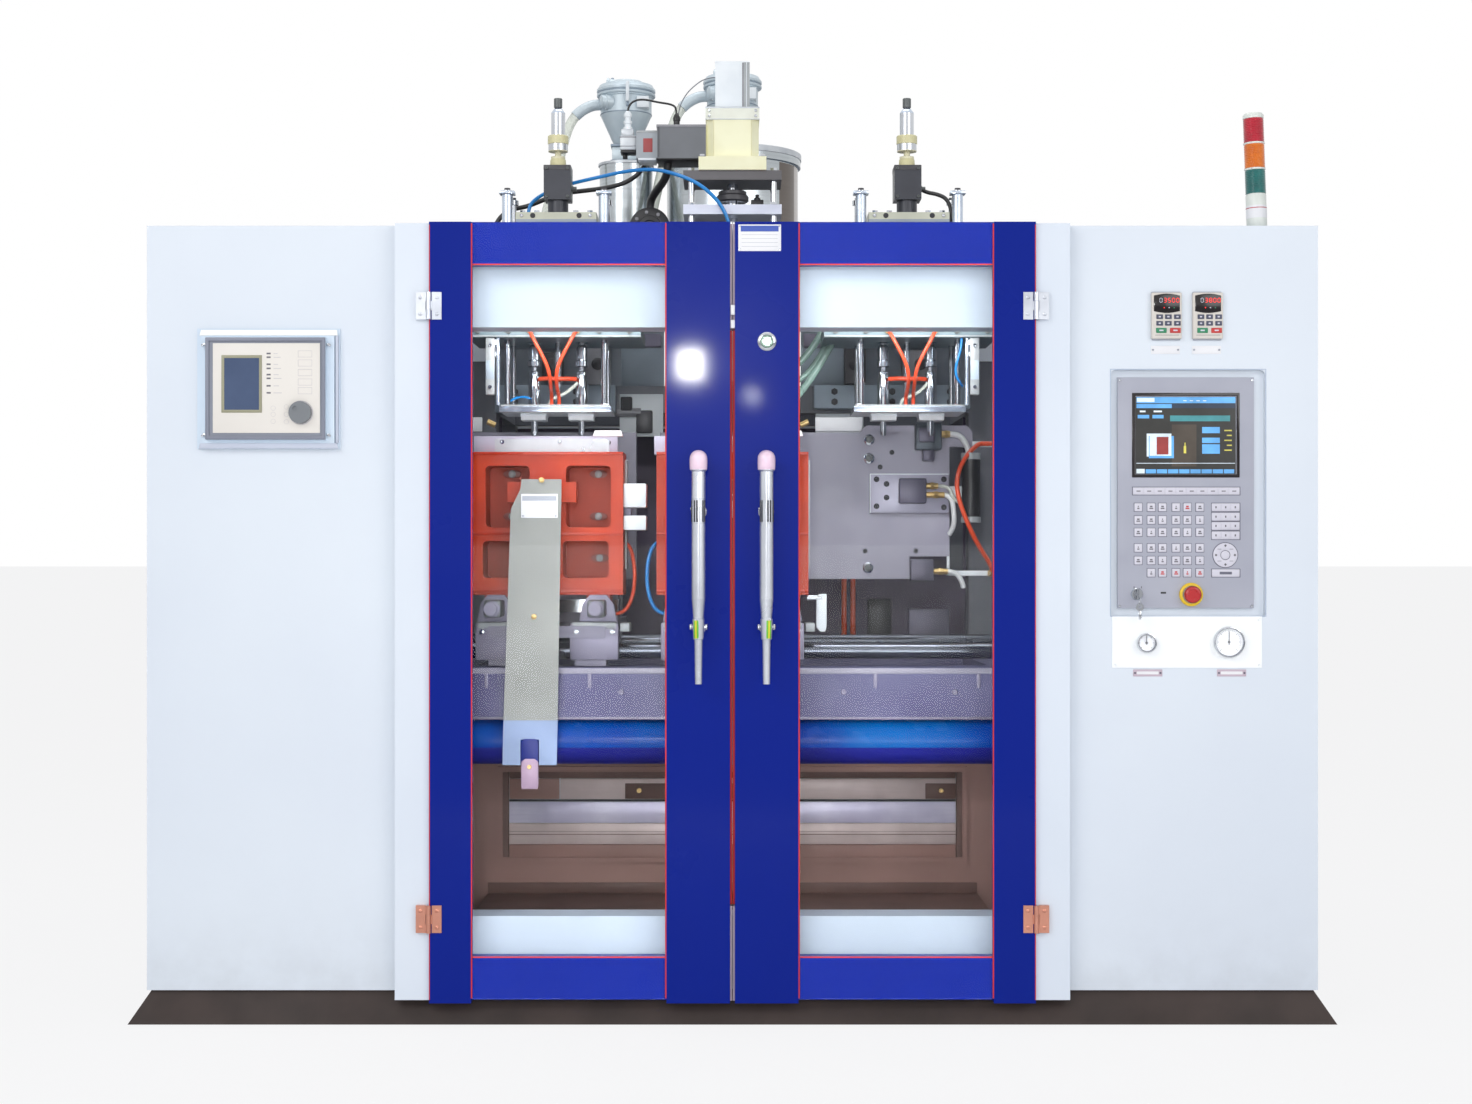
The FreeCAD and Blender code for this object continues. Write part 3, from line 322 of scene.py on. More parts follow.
def makeCloudyGroup():
    # patches of a second shade, uneven gloss, a fine skin that Grain Stretch draws out, grime near the floor
    group, given, result = newGroup("cloudyFinish", {
        "Color": ("Color", (0.5, 0.5, 0.5, 1)), "Shade": ("Color", (0.4, 0.4, 0.4, 1)),
        "Patch Scale": ("Float", 6),
        "Patch Amount": ("Float", 0.5), "Gloss Low": ("Float", 0.3), "Gloss High": ("Float", 0.4),
        "Grain Scale": ("Float", 400), "Grain Stretch": ("Vector", (1, 1, 1)), "Grain Shade": ("Float", 0.0),
        "Grime": ("Float", 0.0), "Grime Top": ("Float", 0.4)},
        {"Color": "Color", "Roughness": "Float", "Height": "Float"})
    grimeBrown = rgb((96, 84, 72))

    def calc(operation, a, b, clamp=False):
        return mathNode(group, operation, a, b, clamp)

    place = addNode(group, "TexCoord", output="Object")
    patch = stretch(group, noiseNode(group, place, given["Patch Scale"]), 0.36, 0.66)
    colour = mixColour(group, calc("MULTIPLY", patch, given["Patch Amount"]), given["Color"], given["Shade"])
    grain = noiseNode(group, vectorMath(group, "MULTIPLY", place, given["Grain Stretch"]),
                      given["Grain Scale"], 2.0)
    streak = calc("MULTIPLY", stretch(group, grain, 0.3, 0.7), given["Grain Shade"])
    colour = mixColour(group, streak, colour, given["Shade"])
    height = addNode(group, "SeparateXYZ", {0: place}, "Z")
    low = calc("SUBTRACT", 1.0, calc("DIVIDE", height, given["Grime Top"]), True)
    dirt = calc("MULTIPLY", calc("POWER", low, 2.0), given["Grime"])
    dirt = calc("MULTIPLY", dirt, stretch(group, noiseNode(group, place, 14.0, 5.0), 0.3, 0.7))
    smear = stretch(group, noiseNode(group, place, 3.1, 4.0, 0.6), 0.3, 0.7)
    span = calc("SUBTRACT", given["Gloss High"], given["Gloss Low"])
    gloss = calc("ADD", calc("MULTIPLY", smear, span), given["Gloss Low"])
    feed(group, result, {"Color": mixColour(group, dirt, colour, grimeBrown), "Height": grain,
                         "Roughness": calc("ADD", gloss, calc("MULTIPLY", dirt, 0.4))})
    return group


def makeBoxMaskGroup():
    # 1 inside a box of the object's own coordinates, 0 outside
    group, given, result = newGroup("insideBox",
                                    {"Low": ("Vector", (0, 0, 0)), "High": ("Vector", (1, 1, 1))},
                                    {"Mask": "Float"})
    place = addNode(group, "TexCoord", output="Object")
    least = vectorMath(group, "MINIMUM", vectorMath(group, "SUBTRACT", place, given["Low"]),
                       vectorMath(group, "SUBTRACT", given["High"], place))
    x, y, z = addNode(group, "SeparateXYZ", {0: least}).node.outputs
    inside = mathNode(group, "MINIMUM", mathNode(group, "MINIMUM", x, y), z)
    feed(group, result, {"Mask": mathNode(group, "GREATER_THAN", inside, 0.0)})
    return group


cloudyFinish = makeCloudyGroup()
insideBox = makeBoxMaskGroup()
looks = {}
shadeShare = 0.88


def newLook(name):
    looks[name] = bpy.data.materials.new(name)
    looks[name].use_nodes = True
    tree = looks[name].node_tree
    return tree, tree.nodes["Principled BSDF"]


def finish(name, colour, shade=None, rough=(0.3, 0.42), metallic=0.0, patch=(4, 0.6), grain=(500, 0.03),
           drawn=(1, 1, 1), streak=0.0, coat=0.0, specular=0.5, grime=0.0, zones=(), glow=0.0,
           seeThrough=0.0):
    # procedural material; zones are (low, high, colour, metallic, roughness) boxes with their own finish
    tree, shader = newLook(name)
    light, dark = rgb(colour), rgb(shade) if shade else rgb(colour, shadeShare)
    metal = metallic
    masks = []
    for low, high, zoneColour, zoneMetal, _ in zones:
        corners = {"Low": [value * mm for value in low], "High": [value * mm for value in high]}
        masks.append(addNode(tree, "Group", corners, "Mask", node_tree=insideBox))
        light = mixColour(tree, masks[-1], light, rgb(zoneColour))
        dark = mixColour(tree, masks[-1], dark, rgb(zoneColour, shadeShare))
        metal = mixValue(tree, masks[-1], metal, zoneMetal)
    made = addNode(tree, "Group", {
        "Color": light, "Shade": dark, "Patch Scale": patch[0], "Patch Amount": patch[1],
        "Gloss Low": rough[0], "Gloss High": rough[1], "Grain Scale": grain[0], "Grain Stretch": drawn,
        "Grain Shade": streak, "Grime": grime}, node_tree=cloudyFinish).node.outputs
    gloss = made["Roughness"]
    for mask, zone in zip(masks, zones):
        gloss = mixValue(tree, mask, gloss, zone[4])
    bump = addNode(tree, "Bump", {"Strength": grain[1], "Distance": 0.001, "Height": made["Height"]})
    feed(tree, shader, {"Base Color": made["Color"], "Metallic": metal, "Roughness": gloss, "Normal": bump,
                        "Coat Weight": coat, "Coat Roughness": 0.06, "Specular IOR Level": specular})
    if glow:
        feed(tree, shader, {"Emission Color": made["Color"], "Emission Strength": glow})
    if seeThrough:
        feed(tree, shader, {"Transmission Weight": seeThrough})
        letLampsThrough(tree, shader)


def mixShader(tree, factor, a, b):
    return addNode(tree, "MixShader", {0: factor, 1: a, 2: b})


def letLampsThrough(tree, shader):
    # lamps light what is behind glass as they do in a real room
    shadow = addNode(tree, "LightPath", output="Is Shadow Ray")
    clear = mixShader(tree, shadow, shader.outputs[0], addNode(tree, "BsdfTransparent"))
    feed(tree, tree.nodes["Material Output"], {"Surface": clear})


def clearGlass(name, colour, roughness, ior=1.45):
    tree, shader = newLook(name)
    feed(tree, shader, {"Base Color": rgb(colour), "Roughness": roughness, "IOR": ior,
                        "Transmission Weight": 1.0})
    letLampsThrough(tree, shader)


def band(low, high, colour, metallic=0.0, rough=0.42, x=(-far, far), y=(-far, far)):
    # zone of another finish between two heights, narrowed in X and Y where they are given
    return (x[0], y[0], low), (x[1], y[1], high), colour, metallic, rough


# name: colour, second shade, gloss range, metallic, patch scale and amount, grain scale and depth,
# grain stretch, streaks; a dict holds what else differs from the usual
mirrorGrey, ringCream = (206, 209, 214), (232, 226, 192)
postFront = {"x": (-722, 722), "y": (-far, -500)}
lookRows = {
    "postWhite": ((214, 221, 230), (205, 213, 224), (0.32, 0.42), 0, (1.3, 0.7), (900, 0.05), dict(zones=[
        # the header and the sill seen through the glass are darker: painted shade behind the door frames
        band(1680, 1945, (196, 209, 222), 0, 0.4, **postFront),
        band(0, 400, (182, 194, 208), 0, 0.4, **postFront)])),
    "stainless": ((190, 196, 200), (150, 156, 160), (0.16, 0.3), 1, (5, 0.6), (140, 0.05),
        (0.04, 0.04, 1), 0.45,
        # the two bands on the drum's right side are painted reflections: a dark streak and a lighter strip
        # beside it
        dict(zones=[band(1900, 2316, (112, 106, 102), 1, 0.28, (140, 186)),
                    band(1900, 2316, (176, 172, 170), 1, 0.28, (186, 198))])),
    "hingeMetal": ((206, 210, 218), (172, 176, 186), (0.24, 0.36), 0.85, (14, 0.6), (500, 0.06),
        dict(zones=[band(0, 600, (214, 150, 128), 0.75, 0.34)])),
    "apronBlue": ((0, 88, 162), (4, 48, 138), (0.2, 0.3), 0, (2.4, 1), (120, 0.08),
        # the strong patches are painted uneven shading, and the darker band low down is painted shade under
        # the rounded apron
        dict(specular=0.2, zones=[band(500, 650, (22, 26, 130), 0, 0.4)])),
    "panelPale": ((206, 220, 233), (196, 210, 226), (0.34, 0.44), 0, (3, 0.6), (900, 0.05),
        dict(zones=[band(1413, 1660, (132, 137, 150), x=(-1274, -984), y=(-932, -915.5))])),
    "blowChrome": (mirrorGrey, (170, 174, 182), (0.08, 0.16), 1, (6, 0.4), (700, 0.02), dict(zones=[
        band(1499, 1518.5, (226, 228, 230), 0, 0.4), band(1518.5, 1532.5, (196, 199, 204), 0.85, 0.26),
        band(2178, 2230, ringCream, 0, 0.4), band(2230, 2252.5, (196, 200, 206), 1, 0.2),
        band(2331, 2400, (70, 72, 80), 0.3, 0.4)])),
    "blowColumn": ((58, 60, 68), (44, 46, 54), (0.3, 0.42), 0.2, (12, 0.6), (400, 0.06),
        dict(zones=[band(2179.2, 2230, ringCream, 0, 0.4)])),
    "bridgeGrey": ((150, 160, 168), (126, 136, 146), (0.32, 0.44), 0.3, (8, 0.6), (300, 0.06), dict(zones=[
        band(1700, 1741, (104, 124, 132), 0.1, 0.4), band(2034.5, 2060, (206, 208, 190), 0.1)])),
    "actuatorPaint": ((244, 242, 208), (230, 226, 186), (0.34, 0.48), 0, (9, 0.6), (340, 0.1), dict(zones=[
        band(2302, 2336, (238, 240, 226)), band(2335.5, 2500, (230, 234, 238), 0.4, 0.36),
        band(2199, 2290, (112, 115, 120), 0.1, 0.46, (-203, -71)),
        band(2199, 2290, (164, 170, 176), 0.1, 0.46, (-300, -202)),
        band(1900, 2100, (40, 40, 46), 0.1, 0.44, (-300, -180))])),
    "platePale": ((190, 194, 208), (162, 166, 182), (0.26, 0.38), 0.5, (9, 0.6), (300, 0.06), dict(zones=[
        band(2138.8, 2165, (98, 96, 99), 0.2), band(2073.5, 2138.5, mirrorGrey, 1, 0.12, (-128, 128)),
        band(1900, 2046.5, mirrorGrey, 1, 0.12, (-128, 128))])),
    "cabinetWhite": ((214, 221, 229), (206, 213, 223), (0.36, 0.48), 0, (1.1, 0.7), (900, 0.05),
        dict(grime=0.18)),
    "doorBlue": ((8, 32, 131), (6, 28, 124), (0.26, 0.32), 0, (1.4, 0.4), (260, 0.05),
        dict(coat=0.1, specular=0.06)),
    "plinthBrown": ((60, 50, 47), (44, 37, 35), (0.5, 0.66), 0, (7, 0.7), (400, 0.1), dict(specular=0.3)),
    "sealRed": ((206, 46, 38), (172, 34, 30), (0.45, 0.6)),
    "sealPale": ((196, 178, 190), (176, 160, 172), (0.45, 0.6)),
    "handleSteel": ((222, 225, 232), (184, 188, 198), (0.2, 0.3), 0.75, (9, 0.5), (900, 0.05), (0.03, 1, 1),
        0.35),
    "chrome": ((206, 209, 214), (170, 174, 182), (0.07, 0.15), 1, (6, 0.4), (700, 0.02)),
    "darkChrome": ((116, 120, 130), (74, 78, 88), (0.16, 0.3), 1, (12, 0.6), (700, 0.04)),
    "bareSteel": ((168, 168, 166), (132, 131, 128), (0.28, 0.44), 1, (9, 0.7), (160, 0.08), (1, 1, 0.05),
        0.4),
    "aluminium": ((205, 208, 212), (178, 182, 190), (0.28, 0.4), 0.9, (5, 0.6), (160, 0.06), (0.04, 1, 1),
        0.3),
    "brass": ((222, 192, 134), (190, 156, 98), (0.24, 0.36), 0.75, (16, 0.6), (500, 0.04)),
    "blackPlastic": ((34, 34, 38), (24, 24, 27), (0.34, 0.46), dict(grain=(900, 0.06))),
    "greyPlastic": ((166, 168, 180), (150, 152, 166), (0.38, 0.5), 0, (5, 0.6), (1100, 0.09)),
    "creamFace": ((224, 219, 212), (214, 210, 203), (0.42, 0.55), 0, (3, 0.5), (900, 0.05)),
    "keyWhite": ((208, 206, 216), (190, 188, 200), (0.34, 0.46), dict(grain=(900, 0.05))),
    "keyGrey": ((104, 104, 118), (90, 90, 104), (0.38, 0.5), dict(grain=(900, 0.05))),
    "labelWhite": ((232, 232, 234), (214, 214, 219), (0.4, 0.52), dict(grain=(700, 0.03))),
    "labelGrey": ((168, 172, 182), (150, 154, 166), (0.4, 0.52), dict(grain=(700, 0.03))),
    "stopRed": ((186, 30, 34), (150, 18, 24), (0.2, 0.3), dict(grain=(600, 0.04), coat=0.3)),
    "stopYellow": ((232, 196, 40), (214, 174, 26), (0.32, 0.42), dict(grain=(600, 0.04))),
    "keyGreen": ((40, 140, 96), (26, 112, 76), (0.34, 0.45)),
    "keyRed": ((196, 52, 48), (168, 36, 36), (0.34, 0.45)),
    "digitRed": ((236, 44, 40), (214, 30, 28), (0.4, 0.5), dict(grain=(900, 0.01), glow=1.2)),
    "displayDark": ((28, 22, 24), (20, 15, 18), (0.12, 0.2), dict(grain=(900, 0.01))),
    "orangePaint": ((184, 50, 18), (162, 38, 12), (0.24, 0.36), 0, (8, 0.7), (260, 0.07), dict(coat=0.2)),
    "bedLilac": ((88, 86, 124), (54, 51, 98), (0.36, 0.5), 0, (4, 0.7), (300, 0.08)),
    "bedLight": ((156, 153, 168), (122, 119, 136), (0.34, 0.46), 0, (4, 0.7), (300, 0.08)),
    "interiorBrown": ((166, 128, 118), (144, 109, 101), (0.44, 0.58), 0, (3, 0.7), (400, 0.08)),
    "frameGrey": ((124, 126, 134), (98, 100, 110), (0.4, 0.54), 0, (6, 0.7), (300, 0.08)),
    "mouldSteel": ((176, 178, 182), (150, 152, 158), (0.26, 0.4), 0.8, (10, 0.6), (180, 0.06), (1, 1, 0.06),
        0.3),
    "loaderBlue": ((200, 212, 220), (178, 192, 204), (0.3, 0.42), 0.25, (10, 0.6), (300, 0.06)),
    "beltGrey": ((152, 150, 148), (134, 132, 131), (0.55, 0.7), 0, (6, 0.6), (300, 0.14)),
    "hoseBlue": ((34, 138, 214), (22, 112, 190), (0.22, 0.32), dict(grain=(400, 0.03), coat=0.2)),
    "hoseBlack": ((30, 30, 33), (20, 20, 23), (0.3, 0.44), dict(grain=(400, 0.06))),
    "hoseOrange": ((226, 84, 50), (204, 64, 34), (0.24, 0.36), dict(grain=(400, 0.03), coat=0.2)),
    "hoseWhite": ((224, 226, 226), (204, 208, 210), (0.3, 0.42), dict(grain=(400, 0.04))),
    "hoseGreen": ((168, 196, 186), (146, 178, 168), (0.2, 0.3), dict(grain=(300, 0.03), seeThrough=0.55)),
    "hoseClear": ((226, 230, 222), (208, 212, 204), (0.16, 0.26), dict(grain=(300, 0.03), seeThrough=0.5)),
    "capPink": ((240, 214, 230), (222, 192, 212), (0.26, 0.4), 0, (24, 0.8), (600, 0.04), dict(coat=0.3)),
    "stripGreen": ((112, 190, 60), (84, 164, 44), (0.3, 0.4)),
    "stripYellow": ((226, 214, 60), (206, 190, 40), (0.3, 0.4)),
    "lockGreen": ((168, 190, 176), (140, 166, 150), (0.2, 0.34), 0.7, (30, 0.7)),
    "bandBlue": ((52, 82, 172), (42, 70, 156), (0.35, 0.45)),
    # lit and shaded colours of the settings panel mount's lips: painted light and painted shade
    "shadedLipLilac": ((190, 196, 210), (176, 182, 198), (0.36, 0.46)),
    "litLipWhite": ((246, 246, 243), (238, 239, 237), (0.34, 0.46)),
    "borderOlive": ((150, 148, 124), (134, 132, 112), (0.4, 0.5)),
    "lcdBlue": ((60, 76, 106), (50, 66, 96), (0.08, 0.14), 0, (12, 0.6), (900, 0.01), dict(glow=0.18)),
    "inkGrey": ((106, 104, 110), (88, 86, 92), (0.4, 0.5)),
    "inkPale": ((198, 194, 196), (182, 178, 182), (0.4, 0.5)),
    "knobGrey": ((118, 122, 126), (104, 108, 113), (0.36, 0.46), dict(grain=(700, 0.06))),
    "bezelGrey": ((126, 130, 144), (114, 118, 132), (0.36, 0.46), dict(grain=(900, 0.06))),
    "keypadBody": ((214, 208, 200), (198, 192, 185), (0.36, 0.48), dict(grain=(900, 0.06))),
    "keyNavy": ((66, 70, 92), (52, 56, 76), (0.34, 0.44)),
    "plateWhite": ((243, 245, 246), (236, 239, 242), (0.34, 0.44)),
    "rimShade": ((176, 188, 206), (160, 172, 192), (0.34, 0.44)),
    "towerPale": ((222, 226, 220), (200, 206, 200), (0.3, 0.4), dict(patch=(12, 0.5))),
    "lensRed": ((176, 6, 40), (140, 4, 26), (0.1, 0.18), 0, (30, 0.6), (240, 0.08), dict(coat=0.3, glow=0.1)),
    "lensAmber": ((212, 112, 2), (182, 78, 2), (0.1, 0.18), 0, (30, 0.6), (240, 0.08),
        dict(coat=0.3, glow=0.1)),
    "lensGreen": ((4, 100, 96), (2, 70, 70), (0.1, 0.18), 0, (30, 0.6), (240, 0.08),
        dict(coat=0.3, glow=0.1)),
    "servoGrey": ((142, 142, 147), (124, 124, 129), (0.36, 0.46), 0.1, (9, 0.5), (900, 0.06)),
    "boxGrey": ((166, 170, 172), (146, 151, 154), (0.36, 0.46), 0.1, (9, 0.5), (900, 0.06)),
    "tagRed": ((166, 76, 76), (146, 60, 62), (0.4, 0.5)),
    "castPale": ((206, 210, 214), (176, 182, 190), (0.34, 0.48), 0.3, (18, 0.7), (260, 0.1)),
    "loaderPale": ((204, 216, 222), (182, 197, 207), (0.3, 0.42), 0.1, (12, 0.7), (300, 0.06)),
    "loaderShade": ((140, 154, 168), (120, 136, 152), (0.34, 0.46), 0.2, (12, 0.7), (300, 0.06)),
    "loaderWhite": ((232, 237, 240), (214, 221, 228), (0.3, 0.42), 0, (12, 0.5), (300, 0.05)),
    "sleeveBlue": ((202, 212, 226), (168, 180, 198), (0.16, 0.26), 0.75, (20, 0.5), (400, 0.04)),
    "ringCream": ((222, 216, 172), (204, 196, 150), (0.34, 0.46), 0, (20, 0.5), (400, 0.05)),
    "tipGrey": ((96, 100, 100), (74, 78, 80), (0.34, 0.46), 0.2, (20, 0.5), (400, 0.08)),
    "blockDark": ((70, 69, 73), (56, 55, 60), (0.34, 0.46), 0.1, (14, 0.6), (500, 0.07)),
    "steelLilac": ((140, 135, 154), (118, 114, 134), (0.34, 0.48), 0.25, (12, 0.7), (300, 0.07)),
    "brownDark": ((116, 88, 80), (96, 72, 65), (0.46, 0.6), 0, (6, 0.7), (400, 0.08)),
    "stripWhite": ((240, 236, 255), (206, 200, 228), (0.3, 0.42), 0.3, (7, 0.8), (160, 0.06), (0.04, 1, 1),
        0.3),
    "stripBeige": ((232, 214, 210), (204, 186, 182), (0.34, 0.46), 0.2, (7, 0.8), (160, 0.06), (0.04, 1, 1),
        0.3),
    "wallGreen": ((176, 190, 202), (140, 152, 164), (0.4, 0.55), 0.1, (5, 0.8), (300, 0.08)),
    "plateLilac": ((176, 174, 190), (146, 143, 162), (0.3, 0.42), 0.2, (6, 0.8), (240, 0.06)),
    "holeDark": ((44, 44, 50), (34, 34, 40), (0.5, 0.6)),
    "valveGrey": ((92, 100, 108), (72, 80, 90), (0.34, 0.46), 0.3, (24, 0.7), (400, 0.08)),
    "lugShade": ((146, 88, 80), (122, 70, 64), (0.34, 0.46), 0, (18, 0.6), (300, 0.06)),
    "tonguePink": ((176, 150, 172), (152, 126, 150), (0.34, 0.46), 0.1, (14, 0.6), (300, 0.06)),
    "shadeLilac": ((94, 82, 106), (66, 56, 76), (0.44, 0.58), 0.1, (7, 0.9), (300, 0.06)),
    "wallShade": ((140, 148, 158), (108, 116, 126), (0.4, 0.55), 0.1, (6, 0.9), (300, 0.08)),
    "valveLilac": ((96, 93, 110), (76, 73, 90), (0.34, 0.46), 0.2, (14, 0.7), (300, 0.07)),
    # dark blue painted shade for the chute's notch
    "shadedNotchBlue": ((10, 30, 120), (8, 22, 100), (0.4, 0.5)),
    "openWhite": ((240, 244, 250), (226, 232, 240), (0.5, 0.6)),
}
screenTints = {
    "screenDark": ((50, 50, 48), 0.35), "screenBlue": ((96, 164, 222), 0.75),
    "screenTeal": ((66, 136, 142), 0.6), "screenWhite": ((214, 228, 240), 0.8),
    "screenRed": ((150, 58, 56), 0.6), "screenYellow": ((206, 196, 90), 0.7),
    "screenNavy": ((44, 58, 78), 0.4), "screenBrown": ((74, 66, 58), 0.4),
}
glowShare = 0.55
for tint, (colour, glow) in screenTints.items():
    lookRows[tint] = (colour, [value * 0.8 for value in colour], (0.1, 0.16), 0, (14, 0.8), (900, 0.01),
                      dict(glow=glow * glowShare))
frontWall = {"y": (-740, -731.8)}
for station, centre in (("left", -472), ("right", 0)):
    lookRows[station + "Carriage"] = (
        (134, 130, 148), (112, 109, 128), (0.36, 0.5), 0, (5, 0.7), (300, 0.08), dict(zones=[
            band(983, 1017, (204, 207, 212), 1, 0.1),
            band(983, 1017, (126, 122, 140), 0.2, 0.46, y=(-800, -785))]))
    lookRows[station + "Platen"] = (
        (190, 54, 6), (158, 36, 4), (0.26, 0.38), 0, (8, 0.7), (260, 0.07), dict(specular=0.3, zones=[
            # the pockets are darker: painted shade in the recesses
            band(1050, 1386, (178, 66, 44), 0, 0.44, (centre - 185, centre + 185), (-628, -538)),
            band(720, 2000, (142, 143, 140), 0.3, **frontWall),
            band(0, 720, (142, 158, 190), 0.3, **frontWall)]))
for name, row in lookRows.items():
    finish(name, *[value for value in row if not isinstance(value, dict)],
           **(row[-1] if isinstance(row[-1], dict) else {}))
clearGlass("windowGlass", (250, 252, 253), 0.0, 1.15)
clearGlass("dialGlass", (248, 250, 252), 0.02)
print("finishes ready:", len(looks))

# finishes of the frame's own nodes, both sides' nodes after "*"
nodeLooks = {
    "cabinetWhite": "*_cabinet", "postWhite": "bay_panels", "plinthBrown": "plinth_skirt",
    "interiorBrown": "bulkhead", "frameGrey": "base_frame main_frame hydraulic_unit extruder_drive",
    "hingeMetal": "fixed_hinge_leaves *_hinge_leaves", "chrome": "key_switch_plug actuator_rod",
    "darkChrome": "guide_rods", "panelPale": "controller_case", "knobGrey": "controller_knob",
    "plateWhite": "gauge_panel", "lockGreen": "lock_plug", "greyPlastic": "hmi_panel",
    "stopRed": "estop_head", "bedLilac": "machine_bed", "apronBlue": "blue_apron",
    "aluminium": "conveyor_frame",
    "beltGrey": "conveyor_belt", "bareSteel": "conveyor_roller die_head extruder_barrel extruder_screw",
    "stainless": "material_hoppers", "loaderBlue": "hopper_loaders",
    "blackPlastic": "small_gauge_needle large_gauge_needle", "doorBlue": "*_door_frame",
    "windowGlass": "*_window", "handleSteel": "*_handle", "bridgeGrey": "blow_bridges",
    "blowColumn": "blow_cylinders", "platePale": "actuator_frame", "actuatorPaint": "parison_actuator",
    "blowChrome": "*_blow_frame", "bedLight": "*_rear_platen", "mouldSteel": "*_front_mould *_rear_mould",
    "leftCarriage": "left_carriage", "rightCarriage": "right_carriage", "leftPlaten": "left_front_platen",
    "rightPlaten": "right_front_platen",
}
for look, members in nodeLooks.items():
    for member in members.split():
        for hand in ("left", "right"):
            mesh = nodes[member.replace("*", hand)].data
            mesh.materials.clear()
            mesh.materials.append(looks[look])
print("frame nodes painted")

# doors: seals, screws, handles, lock rose and a blank rating plate

door = {"front": -950, "window": (159, 630), "glassZ": (166, 1833), "outer": 731, "hingeX": 731.5,
        "hingeZ": (1734, 257), "screwOff": 20, "seal": 3.2, "sealZ": (291, 1676),
        "catchZ": ((1713, 1737), (1681, 1701))}
handle = {"x": 81, "y": -1005, "cap": 1334, "grooves": (1212, 1264), "bracket": (932, 983), "studs": 962,
          "feet": ((1238, 19), (958, 16))}


def doorTrim(side):
    face, w = door["front"], door["seal"]
    (x0, x1), (z0, z1), (low, high) = door["window"], door["glassZ"], door["sealZ"]
    parts = [((x, face - 0.6, z0 - 100), (x + w, face + 0.4, z1 + 100), 0, 0.25, 1) for x in (x0, x1 - w)]
    parts += [((x0 + w, face + 4.8, z), (x1 - w, face + 5.6, z + w), 0) for z in (z0 - w, z1)]
    # outer edge bead and the two halves of the centre seal
    parts += [((door["outer"] - 2.2, face - 0.7, 62), (door["outer"], face + 0.3, 1930), 0, 0.3, 1)]
    for bottom, top, index in ((low, high, 0), (high + 4, 1934, 1), (58, low - 4, 1)):
        parts += [((0.7, face + 12, bottom), (6, face + 32, top), index, 0.8)]
    if side > 0:
        parts += [((-4.5, face + 2, bottom), (6, face + 11, top), 2, 1.2) for bottom, top in door["catchZ"]]
    return parts


def hingeScrews(outward):
    off = door["screwOff"]
    return [("disc", (door["hingeX"] + outward * off, door["front"] - 3, z + way * off),
             [(0, 0), (4.6, 0), (4.4, 1.2), (2.6, 2.3), (1.9, 2.4), (1.7, 1.5), (0, 1.5)], 0, 20)
            for z in door["hingeZ"] for way in sides]


def flute(turn, radius, bottom, top, lean, width, index, soft):
    # rod along the handle, at an angle round it
    a = radians(turn - 90)
    x, y = handle["x"] + cos(a) * radius, handle["y"] + sin(a) * radius
    return "rod", (x, y, bottom), (x + cos(a) * lean, y + sin(a) * lean, top), width, index, 12, soft


def handleTrim(side):
    x, y = handle["x"], handle["y"]
    parts = [("post", (x, y, handle["cap"]), [
        (16.9, -0.5), (20.6, 3.6), (21.2, 12), (21.4, 20), (21.2, 28), (20.5, 34.5), (18.6, 39), (16.4, 42.5),
        (12, 46.5), (6.5, 49), (0, 50)], 0, 40)]
    # dark inlays in the flutes of the grip, bright bands between them
    low, high = handle["grooves"]
    parts += [flute(turn, 16.2, low, high, 0, 1.9, 1, 0.5) for turn in (-62, -40, 12, 34, 74, 150, 200)]
    parts += [("post", (x, y, z - 0.6), [(16.4, 0), (16.9, 0.2), (16.9, 1), (16.4, 1.2)], 2, 40)
              for z in (low - 3, high + 3)]
    parts += [("turn", (x - side * 17, y + 2, (low + high) / 2 + 6), (-side, -0.4, 0),
               [(0, -2), (3.6, -1), (3.6, 1.6), (2.2, 2.8), (0, 3)], 2, 18)]
    # sleeve with the two-colour insert over the lower foot
    low, high = handle["bracket"]
    parts += [("post", (x, y, low), [(10.6, 0), (12.8, 1), (13.8, 24), (14.6, 49), (12.2, 51)], 3, 36)]
    parts += [flute(turn, 12.6, low + 3, high - 5, 1.2, 2.4, index, 0.6)
              for turn, index in ((8, 4), (26, 5), (40, 4))]
    parts += [("turn", (x + way * 12, y + 6, handle["studs"]), (way, 0, 0),
               [(0, 0), (5, 0), (5, 4), (8.4, 5), (8.4, 8.4), (6, 10.2), (0, 10.6)], 2, 22) for way in sides]
    return parts + [("disc", (x, door["front"] + 0.2, z),
                     [(0, 0), (r, 0), (r, 2.6), (r - 2, 4.6), (0, 4.6)], 2, 36)
                    for z, r in handle["feet"]]


for side, hand in ((1, "right"), (-1, "left")):
    for name, body, finishes, slotName, parts in (
            ("DoorTrim", "_door", ("sealRed", "sealPale", "labelWhite"), "door_blue", doorTrim(side)),
            ("HingeScrews", "_door", ("hingeMetal",), "hinge_metal", hingeScrews(-1)),
            ("PostScrews", "", ("hingeMetal",), "hinge_metal", hingeScrews(1)),
            ("HandleTrim", "_door",
             ("capPink", "blackPlastic", "chrome", "handleSteel", "stripGreen", "stripYellow"),
             "chromed", handleTrim(side))):
        built(hand + name, hand + body if body else "frame", finishes, parts, flip=side < 0)

rose = {"place": (83, door["front"], 1648), "outer": 22.5, "step": 15, "inner": 11.4}
outer, step, inner = rose["outer"], rose["step"], rose["inner"]
built("lockRose", "right_door", ("chrome", "lockGreen"), [
    ("disc", rose["place"],
     [(inner, -0.2), (outer, -0.2), (outer, 3), (outer - 2.5, 5.4), (16.5, 6.2), (step, 4.4),
      (step, 0.4)], 0, 48),
    ("disc", rose["place"], [(step, 0.4), (step, 5.2), (13.4, 6.4), (inner, 6), (inner, 0.4)], 1, 48)])

